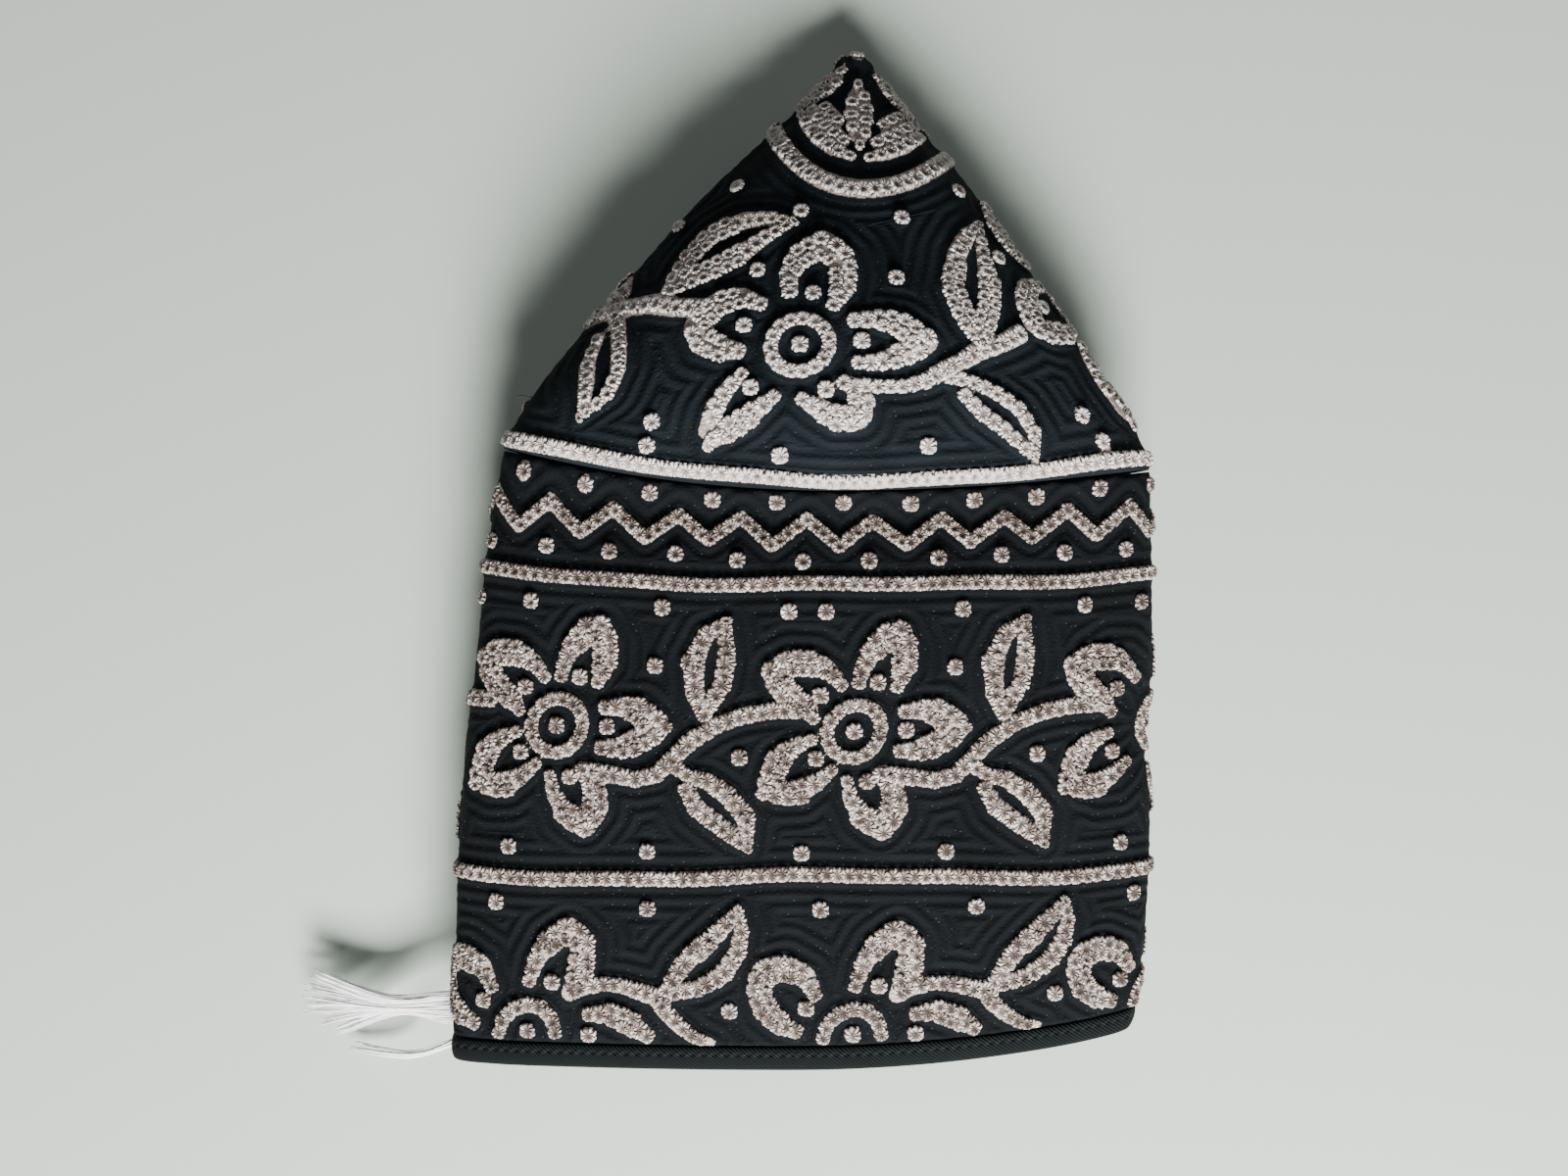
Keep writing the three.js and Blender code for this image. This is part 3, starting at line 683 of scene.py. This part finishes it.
CROWN_COLUMNS = 560
seam_steps = lines_between(CROWN_LINES, 40)
seam_far = np.concatenate([[0], np.cumsum(np.hypot(np.diff(seam_steps[:, 0]), np.diff(seam_steps[:, 6])))])
spaced = np.interp(np.linspace(0, seam_far[-1], 112), seam_far, seam_steps[:, 0])
crown_rows = smooth_rows(CROWN_LINES, 0, spaced)
crown_outer, crown_around = fold_flat(crown_rows, WALL, 1, CROWN_COLUMNS, crown_round, ease=0.94)
crown_out = np.interp(crown_rows[:, 0], CROWN_LINES[:, 0], CROWN_OUT)

# The last lines close over the point as a small dome.
dome = np.sin(np.linspace(0, np.pi / 2, 7))[1:-1]
last = crown_outer[-1]
dome_lines = [TIP + (last - TIP) * (np.sqrt(1 - f * f), 1 - f, np.sqrt(1 - f * f)) for f in dome]
dome_out = crown_out[-1] * np.sqrt(1 - dome * dome)
crown_outer = np.concatenate([crown_outer, np.array(dome_lines)])
crown_turn = crown_around / crown_out[:, None]
crown_turn = np.concatenate([crown_turn, np.repeat(crown_turn[-1:], len(dome), axis=0)])
crown_out = np.concatenate([crown_out, dome_out])
crown_flat = np.stack([np.sin(crown_turn[:, :-1]), -np.cos(crown_turn[:, :-1])], axis=-1)
crown_flat *= crown_out[:, None, None]
crown_depths, crown_lines = (crown_depth(*np.moveaxis(crown_flat, -1, 0), dotted) for dotted in (True, False))
crown_normal = outward(crown_outer)
crown_face = crown_outer + crown_normal * cloth_relief(crown_depths, crown_lines)[..., None]
crown_face[..., 2] = np.maximum(crown_face[..., 2], RESTS_AT)
hollow = np.linspace(0, np.searchsorted(crown_rows[:, 0], 192) - 1, 16).round().astype(int)
crown_inner, _ = fold_flat(crown_rows[hollow], WALL, -1, CROWN_COLUMNS, crown_round)
hollow_end = crown_inner[-1].mean(axis=0) + (0, 2, 0)
crown = sewn_cloth(
    "crown_cloth", crown_face, crown_inner, crown_flat, hollow, crown_depths, crown_lines,
    ends=np.array([TIP, hollow_end]),
)
# Painted light: the crown's cloth is paler than the band's, to stand in for light that the lamps don't give
# it.
crown.data.materials.append(black_cotton("crown_black_cotton_painted_light", 1.8))
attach(crown, "root")
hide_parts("crown")

# The hem binding
# A strip of plain black twill, folded round the hem's raw edge and stitched down with a row of small
# stitches.

BINDING_WALL, BINDING_EDGE_WALL, BINDING_TOP, BINDING_BOTTOM = 2.8, 1.9, 7.6, 2.7
BINDING_ROWS, BINDING_INNER_AT = 9, [0, 4, 8]
binding_rows = smooth_rows(BAND_LINES, 0, np.linspace(BINDING_BOTTOM, BINDING_TOP, BINDING_ROWS))
bulge = np.sin(np.linspace(0, np.pi, BINDING_ROWS)) ** 0.6
bound_outer, bound_around = [], []
for values, full in zip(binding_rows, bulge):
    wall = BINDING_EDGE_WALL + (BINDING_WALL - BINDING_EDGE_WALL) * full
    line, around = fold_flat([values], wall, 1, BAND_COLUMNS, band_round)
    bound_outer.append(line[0])
    bound_around.append(around[0])
bound_inner, _ = fold_flat(binding_rows[BINDING_INNER_AT], BINDING_WALL, -1, BAND_COLUMNS, band_round)
bound_outer, bound_around = np.array(bound_outer), np.array(bound_around)
bound_flat = np.stack(np.broadcast_arrays(bound_around[:, :-1], binding_rows[:, :1]), axis=-1)
plain = np.full(bound_flat.shape[:2], LINING)
binding = sewn_cloth(
    "hem_binding_cloth", bound_outer, bound_inner, bound_flat, BINDING_INNER_AT, plain, plain,
)


def binding_cotton():
    """Black twill with a green cast, its fine slanting ribs, and one row of stitches along it."""
    finish = Finish("binding_black_twill", 0.9, 0.0, specular=0.12)
    flat = finish.node("ShaderNodeUVMap", {"uv_map": "flat_cloth"})
    along, up = finish.parts(flat)
    cloud = finish.node("ShaderNodeTexNoise", Vector=flat, Scale=14.0, Detail=3.0)
    ribs = (along * 700.0 + up * 900.0).sine()
    stitch_line = (1.0 - (up - 0.060).absolute() * 170.0).clamped()
    stitch = stitch_line * ((along * 280.0).sine() * 0.5 + 0.5)
    black = finish.blend(cloud, (0.0016, 0.0026, 0.0028, 1), (0.004, 0.006, 0.0063, 1))
    finish.colour(finish.blend(stitch * 0.35, black, (0.025, 0.03, 0.034, 1)))
    finish.bump(ribs * 0.2 + stitch * 1.1 - stitch_line * 0.7, 0.0004)
    return finish.material


binding.data.materials.append(binding_cotton())
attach(binding, "root")
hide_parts("hem_binding")

# The embroidery
# Cream silky thread, sewn through both layers in rows of small eyelets: each is a needle hole, with threads
# that fan out from it over a raised rim. Narrow strokes take one row, wide ones two, and a dot is one wide
# eyelet.

EYELET_PITCH = 2.2
EYELET_HEIGHT = 0.5
DOT_RADIUS = 1.62
TWO_ROWS = 4.3


def eyelets_along(stroke):
    """A stroke's eyelets: the place of each, the stroke's direction there, and its half sizes along and
    across."""
    if len(stroke) == 1:
        return np.array([(*stroke[0][:2], 0, DOT_RADIUS, DOT_RADIUS)])
    line = np.array(stroke, dtype=float)
    if np.hypot(*(line[0] - line[-1])[:2]) > 0.5:
        ends = []
        for end, before in ((line[0], line[1]), (line[-1], line[-2])):
            step = (end - before)[:2] / np.hypot(*(end - before)[:2])
            ends.append([*(end[:2] + step * end[2] * 0.35), end[2] * 0.8])
        line = np.vstack([ends[0], line, ends[1]])
    far = np.concatenate([[0], np.cumsum(np.hypot(*np.diff(line[:, :2], axis=0).T))])
    count = max(2, round(far[-1] / EYELET_PITCH))

    def at(distance):
        return np.stack([np.interp(distance, far, line[:, k]) for k in range(3)], axis=1)

    made = []
    for shift, side in ((0.5, 1), (1.0, -1)):
        middle = (np.arange(count) + shift) * far[-1] / count
        place, ahead = at(middle), at(middle + 0.8) - at(middle - 0.8)
        turn, wide = np.arctan2(ahead[:, 1], ahead[:, 0]), place[:, 2] > TWO_ROWS
        offset = np.where(wide, place[:, 2] / 4, 0) * side
        x, y = place[:, 0] - np.sin(turn) * offset, place[:, 1] + np.cos(turn) * offset
        gaps = np.hypot(np.diff(x), np.diff(y))
        along = np.clip(0.31 * (np.append(gaps, gaps[-1]) + np.append(gaps[0], gaps)), 1.0, 1.8)
        across = np.where(wide, place[:, 2] / 4 + 0.18, place[:, 2] / 2 - 0.06)
        made.append(np.stack([x, y, turn, along, across], axis=1)[wide | (side > 0)])
    return np.concatenate(made)


def eyelets_of(strokes):
    """The eyelets of these strokes, without any that would lie almost on an earlier one."""
    made = np.empty((0, 5))
    for stroke in strokes:
        for eyelet in eyelets_along(stroke):
            if not len(made) or np.hypot(*(made[:, :2] - eyelet[:2]).T).min() > 1.3:
                made = np.vstack([made, eyelet])
    return made


def lay_on(grid, normals, around, out, around_at, out_at):
    """The cloth's place, normal and direction round the cap at each flat place."""
    way = 1 if out[0] < out[-1] else -1
    rows = np.interp(way * out_at, way * out, np.arange(len(out)))
    lay = []
    for row, at in zip(rows, around_at):
        low = min(int(row), len(out) - 2)
        share = row - low
        found = []
        for j in (low, low + 1):
            line = around[j]
            column = np.interp((at - line[0]) % (line[-1] - line[0]) + line[0], line, np.arange(len(line)))
            i, f = int(column), column - int(column)
            i, n = i % grid.shape[1], (i + 1) % grid.shape[1]
            place = grid[j, i] * (1 - f) + grid[j, n] * f
            found.append(np.stack([place, normals[j, i], grid[j, n] - grid[j, i]]))
        lay.append(found[0] * (1 - share) + found[1] * share)
    lay = np.array(lay)
    normal = lay[:, 1] / np.linalg.norm(lay[:, 1], axis=1)[:, None]
    along = lay[:, 2] - normal * (lay[:, 2] * normal).sum(axis=1)[:, None]
    return lay[:, 0], normal, along / np.linalg.norm(along, axis=1)[:, None]


def eyelet_pattern():
    """One eyelet, one unit in half size: a raised crest of thread with rounded corners round a needle
    hole."""
    bpy.ops.object.select_all(action="DESELECT")
    bpy.ops.mesh.primitive_circle_add(vertices=12, radius=1.0, fill_type="NOTHING", location=(0, 0, 0))
    pattern = bpy.context.object
    bpy.ops.object.mode_set(mode="EDIT")
    for grow, rise in ((0.8, 1.0), (0.6, -0.3), (0.5, -0.5)):
        bpy.ops.mesh.extrude_region_move(TRANSFORM_OT_translate={"value": (0, 0, rise)})
        bpy.ops.transform.resize(value=(grow, grow, 1))
    bpy.ops.mesh.extrude_region_move(TRANSFORM_OT_translate={"value": (0, 0, -0.05)})
    bpy.ops.mesh.merge(type="CENTER")
    bpy.ops.mesh.select_all(action="SELECT")
    bpy.ops.mesh.normals_make_consistent(inside=False)
    bpy.ops.object.mode_set(mode="OBJECT")
    corners = np.array([tuple(v.co) for v in pattern.data.vertices])
    faces = [tuple(face.vertices) for face in pattern.data.polygons]
    if pattern.data.polygons[0].normal.z < 0:
        faces = [face[::-1] for face in faces]
    bpy.data.objects.remove(pattern)
    # The operators give vertices and faces in another order each run, so both are put in one order here.
    turn = np.arctan2(corners[:, 1], corners[:, 0]).round(3) % 6.283
    order = np.lexsort((turn, corners[:, 2].round(3)))
    corners, place = corners[order].round(6) + 0.0, np.argsort(order)
    faces = [[int(place[v]) for v in face] for face in faces]
    faces = sorted(tuple(face[face.index(min(face)):] + face[:face.index(min(face))]) for face in faces)
    turn = np.arctan2(corners[:, 1], corners[:, 0])
    corners[:, :2] *= ((np.cos(turn) ** 4 + np.sin(turn) ** 4) ** -0.25)[:, None]
    return corners, faces


eyelet_corners, eyelet_faces = eyelet_pattern()


def cream_thread(name, pale):
    """Cream thread with a silky gleam: painted shade, brown, in each hole, painted highlight on the crests,
    fanned out in single threads, and with gaps between the thread ends that show the black cloth. Its number
    paints light into it: the crown's copy is made paler than the band's, to stand in for light that the lamps
    don't give it."""
    finish = Finish(name, 0.55, 0.05)
    spot = finish.node("ShaderNodeUVMap", {"uv_map": "eyelet"})
    x, y = finish.parts(spot)
    tone = finish.node("ShaderNodeAttribute", {"attribute_name": "tone"}, output=2)
    there = finish.node("ShaderNodeTexCoord", output=3)
    patch = finish.node("ShaderNodeTexNoise", Vector=there, Scale=340.0, Detail=2.0, Roughness=0.6)
    fleck = finish.node(
        "ShaderNodeTexNoise", {"noise_dimensions": "4D"},
        Vector=spot, W=tone * 60.0, Scale=1.7, Detail=5.0, Roughness=0.68,
    )
    rough = fleck * 4.0 - 2.0
    x, y = x + rough * 0.16, y + (patch - 0.5) * 0.9
    out = (x * x + y * y).maths("SQRT", x * x + y * y)
    fan = (y.maths("ARCTAN2", y, x) * 9.0 + tone * 40.0 + fleck * 7.0).sine()
    # Painted shade: the thread is darkened to brown in and round each needle hole.
    hole = (0.95 - out * 1.5 + rough * 0.4).clamped() * (tone * 0.6 + 0.35)
    # Painted highlight: the thread is paler along each eyelet's raised crest.
    crest = (1.0 - ((out - 0.88) * 2.6).absolute()).clamped()
    light = fan * 0.2 + rough * 0.52 + tone * 0.14 + crest * 0.24 - hole * 0.7 + (patch - 0.5) * 1.7
    # Painted light: the number added here makes the crown's copy of the thread paler than the band's.
    light = (light + (0.4 + pale)).clamped()
    dull = finish.blend((light * 2.0).clamped(), (0.085, 0.06, 0.05, 1), (0.44, 0.345, 0.3, 1))
    cream = finish.blend((light * 2.0 - 1.0).clamped(), dull, (0.98, 0.89, 0.84, 1))
    teeth = ((out - 0.9) * 9.0).clamped() * (fan * -3.0 - 0.6).clamped()
    finish.colour(finish.blend(teeth, cream, (0.014, 0.012, 0.011, 1)))
    finish.bump(fan * 0.6 + rough * 0.5, 0.0005)
    return finish.material


def sew_eyelets(name, eyelets, lay, finish, seed):
    """Eyelets on the cloth as one joined mesh, each a little different as hand work is."""
    place, normal, along, turn = lay(eyelets)
    rng = np.random.default_rng(seed)
    count, corners = len(place), len(eyelet_corners)
    side = np.cross(normal, along)
    shape = np.repeat(eyelet_corners[None], count, axis=0)
    rim = np.hypot(shape[..., 0], shape[..., 1])
    ragged = 1 + rng.uniform(-0.05, 0.05, rim.shape) * (rim > 0.9) + rng.uniform(-0.04, 0.04, rim.shape)
    x, y = shape[..., 0] * ragged * eyelets[:, 3:4], shape[..., 1] * ragged * eyelets[:, 4:5]
    c, s = np.cos(turn)[:, None], np.sin(turn)[:, None]
    rise = shape[..., 2] * rng.uniform(0.8, 1.2, (count, 1)) + rng.uniform(-0.12, 0.12, rim.shape)
    made = place[:, None] + along[:, None] * (x * c - y * s)[..., None]
    made = made + side[:, None] * (x * s + y * c)[..., None]
    made = made + normal[:, None] * (rise * EYELET_HEIGHT - 0.06 * (rim > 0.9))[..., None]
    made[..., 2] = np.maximum(made[..., 2], 0)
    faces = [tuple(v + k * corners for v in face) for k in range(count) for face in eyelet_faces]
    mesh, corner = smooth_mesh(name, made.reshape(-1, 3), faces)
    lay_flat(mesh, "eyelet", np.tile(eyelet_corners[:, :2], (count, 1))[corner])
    mark(mesh, "tone", np.repeat(rng.uniform(0, 1, count), corners))
    mesh.materials.append(finish)
    piece = linked(name, mesh)
    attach(piece, "root")
    return piece


def lay_on_band(eyelets):
    laid = lay_on(band_face, band_normal, band_around, band_out, eyelets[:, 0] % ROUND, eyelets[:, 1])
    return *laid, eyelets[:, 2]


def lay_on_crown(eyelets):
    out, turn = np.hypot(eyelets[:, 0], eyelets[:, 1]), np.arctan2(eyelets[:, 0], -eyelets[:, 1])
    return *lay_on(crown_face, crown_normal, crown_turn, crown_out, turn, out), eyelets[:, 2] - turn


# The flowers and leaves of the band, and the half flowers that the hem cuts off above the binding.
ABOVE_BINDING = 8.9
band_finish = cream_thread("band_cream_thread", -0.11)
for kind, flowers, row, seed in (("band", BAND_FLOWERS, BAND_ROW, 21), ("hem", HEM_FLOWERS, HEM_ROW, 22)):
    units = [eyelets_of(band_figures(kind, k)) + (flower, row, 0, 0, 0) for k, flower in enumerate(flowers)]
    sewn = np.concatenate(units)
    sewn = sewn[sewn[:, 1] > ABOVE_BINDING]
    sew_eyelets(kind + "_flowers", sewn, lay_on_band, band_finish, seed)

# The stripes and the zigzag.
STRIPE_STEPS = 256
at = np.linspace(0, ROUND, STRIPE_STEPS)
sewn = []
for height, width, bow in STRIPES:
    stripe = np.stack([at, height + stripe_wave(at, bow), np.full(STRIPE_STEPS, width)], axis=1)
    sewn.append(eyelets_along(stripe))
sewn = np.concatenate(sewn + [eyelets_of(ZIGZAG + dot_strokes(ZIGZAG_DOTS))])
sew_eyelets("band_stripes", sewn, lay_on_band, band_finish, 23)

# The crown's flowers, its roundel, and the stripe along its seam.
at = np.linspace(0, 2 * np.pi, STRIPE_STEPS)
wavy = SEAM_STRIPE + stripe_wave(at * CROWN_RADIUS)
seam = np.stack([wavy * np.sin(at), -wavy * np.cos(at), np.full(STRIPE_STEPS, SEAM_STRIPE_WIDTH)], axis=1)
sewn = [eyelets_of(crown_figures(k)) for k in range(6)] + [eyelets_of(roundel), eyelets_along(seam)]
# Painted light: the crown's thread is made paler than the band's, to stand in for light that the lamps don't
# give it.
crown_finish = cream_thread("crown_cream_thread_painted_light", 0.48)
crown_embroidery = sew_eyelets("crown_embroidery", np.concatenate(sewn), lay_on_crown, crown_finish, 24)

# The thread tassel
# Loose white cotton threads at the left of the hem, sewn to a small flat knot inside the left gusset. They
# leave the cap as five flat strands in one bundle and a thin strand apart, and fray at their ends.

KNOT_AT, KNOT_SIZE = np.array([-60.0, 11.8 - HEM_TO_ORIGIN, 11.1]), (9.0, 7.0, 1.8)
EDGE_X, EDGE_Z = -74.0, 11.1
# A row for each strand: where it leaves the knot, where it passes the cap's edge, where it ends, its width,
# and how far it bends sideways on the way. Distances across the cap are from the hem.
STRAND_COLUMNS = ("root_y", "edge_y", "end_x", "end_y", "end_z", "width", "sag")
STRANDS = [
    (14.0, 12.9, -104.2, 17.1, 6.5, 1.8, -3.2),
    (12.8, 11.8, -106.5, 13.2, 6.0, 2.0, -1.8),
    (11.6, 10.6, -107.0, 9.6, 5.0, 2.0, -0.3),
    (10.4, 9.4, -104.0, 6.2, 3.8, 1.9, 1.0),
    (9.6, 8.2, -100.4, 2.9, 2.6, 1.6, 2.1),
    (9.0, 2.6, -97.2, -0.6, 1.8, 1.4, -2.8),
]
THREAD_SIDES, THREADS_PER_MM, THREAD_RADII = 5, 20, (0.2, 0.2, 0.09)
WINDINGS, WINDING_STEPS, WINDING_RADIUS = 18, 25, 0.26


def strand_route(strand):
    """The middle line of a strand, from its knot to its end."""
    s = dict(zip(STRAND_COLUMNS, strand))
    x, _, z = KNOT_AT
    route = [
        (x - 1, s["root_y"], z),
        (x + (EDGE_X - x) * 0.55, (s["root_y"] + s["edge_y"]) / 2, z + (EDGE_Z - z) * 0.35),
        (EDGE_X, s["edge_y"], EDGE_Z),
        (EDGE_X + (s["end_x"] - EDGE_X) * 0.45, s["edge_y"] + (s["end_y"] - s["edge_y"]) * 0.4 + s["sag"],
         EDGE_Z + (s["end_z"] - EDGE_Z) * 0.7),
        (s["end_x"], s["end_y"], s["end_z"]),
    ]
    return lines_between(np.array(route), 7) - (0, HEM_TO_ORIGIN, 0)


def thread_tubes(lines, radii):
    """Tubes round these lines, as places and faces of one mesh."""
    places, faces = [], []
    for line, radius in zip(lines, radii):
        along = np.gradient(line, axis=0)
        along /= np.linalg.norm(along, axis=1)[:, None]
        across = np.cross((1.0, 0.0, 0.0) if abs(along[:, 2]).max() > 0.9 else (0.0, 0.0, 1.0), along)
        across /= np.linalg.norm(across, axis=1)[:, None]
        up = np.cross(along, across)
        turn = np.arange(THREAD_SIDES) * 2 * np.pi / THREAD_SIDES
        ring = across[:, None] * np.cos(turn)[:, None] + up[:, None] * np.sin(turn)[:, None]
        start = sum(len(tube) for tube in places)
        places.append((line[:, None] + ring * radius[:, None, None]).reshape(-1, 3))
        for j in range(len(line) - 1):
            low = start + j * THREAD_SIDES
            for i in range(THREAD_SIDES):
                n = (i + 1) % THREAD_SIDES
                faces.append((low + i, low + n, low + n + THREAD_SIDES, low + i + THREAD_SIDES))
        last = start + (len(line) - 1) * THREAD_SIDES
        faces += [tuple(range(start, start + THREAD_SIDES))[::-1], tuple(range(last, last + THREAD_SIDES))]
    return np.concatenate(places), faces


def tassel_threads():
    """The threads of all strands, and the windings of the knot that they are sewn to."""
    rng = np.random.default_rng(31)
    lines, radii = [], []
    for strand in STRANDS:
        route, width = strand_route(strand), strand[5]
        share = np.linspace(0, 1, len(route))[:, None]
        along = np.gradient(route, axis=0)
        along /= np.linalg.norm(along, axis=1)[:, None]
        across = np.cross((0.0, 0.0, 1.0), along)
        up = np.cross(along, across)
        for _ in range(int(width * THREADS_PER_MM)):
            side, lift = rng.uniform(-0.6, 0.6, 3) * width, rng.uniform(-0.22, 0.22, 2) * width
            swing = 0.12 * np.sin(share * rng.uniform(8, 16) + rng.uniform(0, 6.3))
            sideways = side[0] * (1 - share) + side[1] * share * (1 - share)
            sideways = sideways + side[2] * share**2 * 1.5 + swing
            upward = lift[0] * (1 - share) + lift[1] * share
            length = rng.uniform(0.82, 1.0)
            line = route + across * sideways + up * upward
            kept = np.linspace(0, length * (len(route) - 1), len(route))
            steps = np.arange(len(route))
            lines.append(np.stack([np.interp(kept, steps, line[:, k]) for k in range(3)], axis=1))
            radii.append(np.interp(share[:, 0], (0, 0.8, 1), THREAD_RADII) * rng.uniform(0.8, 1.2))
    turn = np.linspace(0, 2 * np.pi, WINDING_STEPS)
    for u in np.linspace(-0.9, 0.9, WINDINGS):
        half = np.sqrt(1 - u * u) * (np.array(KNOT_SIZE[1:]) / 2 - 0.3)
        x = np.full(WINDING_STEPS, u * KNOT_SIZE[0] / 2)
        lines.append(KNOT_AT + np.stack([x, half[0] * np.cos(turn), half[1] * np.sin(turn)], axis=1))
        radii.append(np.full(WINDING_STEPS, WINDING_RADIUS))
    return thread_tubes(lines, radii)


def single_threads(name, places, faces, low, high, slot):
    """A mesh of threads with a cotton finish between two colours, fixed to the cap."""
    mesh, _ = smooth_mesh(name, places, faces)
    finish = Finish(name + "_cotton", 0.6, 0.2)
    there = finish.node("ShaderNodeTexCoord", output=3)
    twist = finish.node("ShaderNodeTexNoise", Vector=there, Scale=900.0, Detail=3.0)
    finish.colour(finish.blend(twist, low, high))
    finish.bump(twist, 0.0002)
    mesh.materials.append(finish.material)
    piece = linked(name, mesh)
    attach(piece, "root")
    return piece


tassel = single_threads(
    "tassel_threads", *tassel_threads(), (0.86, 0.88, 0.87, 1), (1.0, 1.0, 1.0, 1), "white_thread",
)
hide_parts("thread_tassel")

# The loose thread end
# One end of black sewing thread that stands out of the crown's seam at the left.

LOOSE_END = np.array([(-52.6, 45.8, 22.6), (-54.4, 46.3, 23.4), (-56.4, 46.5, 22.8), (-57.9, 45.9, 21.2)])
loose = lines_between(LOOSE_END, 5)
single_threads(
    "loose_thread_end", *thread_tubes([loose], [np.full(len(loose), 0.15)]), (0.006, 0.009, 0.011, 1),
    (0.02, 0.025, 0.03, 1), "crown_cotton",
)

# The floor, the light and the camera
# A plain pale floor, one soft light from beyond the hem and a faint one from above, and a camera that looks
# straight down.

bpy.ops.object.select_all(action="DESELECT")
bpy.ops.mesh.primitive_plane_add(size=10.0, location=(0, 0, -0.0002))
floor = bpy.context.object
floor.name = "studio_floor"
floor_finish = Finish("studio_floor_paint", 0.7, 0.0)
floor_finish.shader.inputs["Base Color"].default_value = (0.45, 0.505, 0.455, 1)
floor.data.materials.append(floor_finish.material)


def soft_light(name, place, aim, size, power, colour):
    """A square of soft light at a place, facing what it is aimed at."""
    light = bpy.data.lights.new(name, "AREA")
    light.shape, light.size, light.energy, light.color = "SQUARE", size, power, colour
    lamp = linked(name, light)
    lamp.location = place
    line = lamp.location - bpy.context.scene.cursor.location - type(lamp.location)(aim)
    lamp.rotation_euler = line.to_track_quat("Z", "Y").to_euler()


soft_light("hem_light", (0.12, -0.72, 0.52), (0.0, 0.0, 0.0), 0.36, 37.0, (1.0, 0.99, 0.97))
soft_light("top_light", (0.05, 0.3, 1.1), (0.0, 0.0, 0.0), 0.5, 1.6, (0.96, 0.98, 1.0))
world = bpy.data.worlds.new("studio_air")
world.use_nodes = True
world.node_tree.nodes["Background"].inputs["Color"].default_value = (0.9, 0.95, 1.0, 1)
world.node_tree.nodes["Background"].inputs["Strength"].default_value = 0.045
bpy.context.scene.world = world

eye = bpy.data.cameras.new("camera")
eye.lens, eye.sensor_width, eye.clip_start = 33.5, 36.0, 0.01
camera = linked("camera", eye)
camera.location = (-0.0025, 0.0074, 0.320)
bpy.context.scene.camera = camera
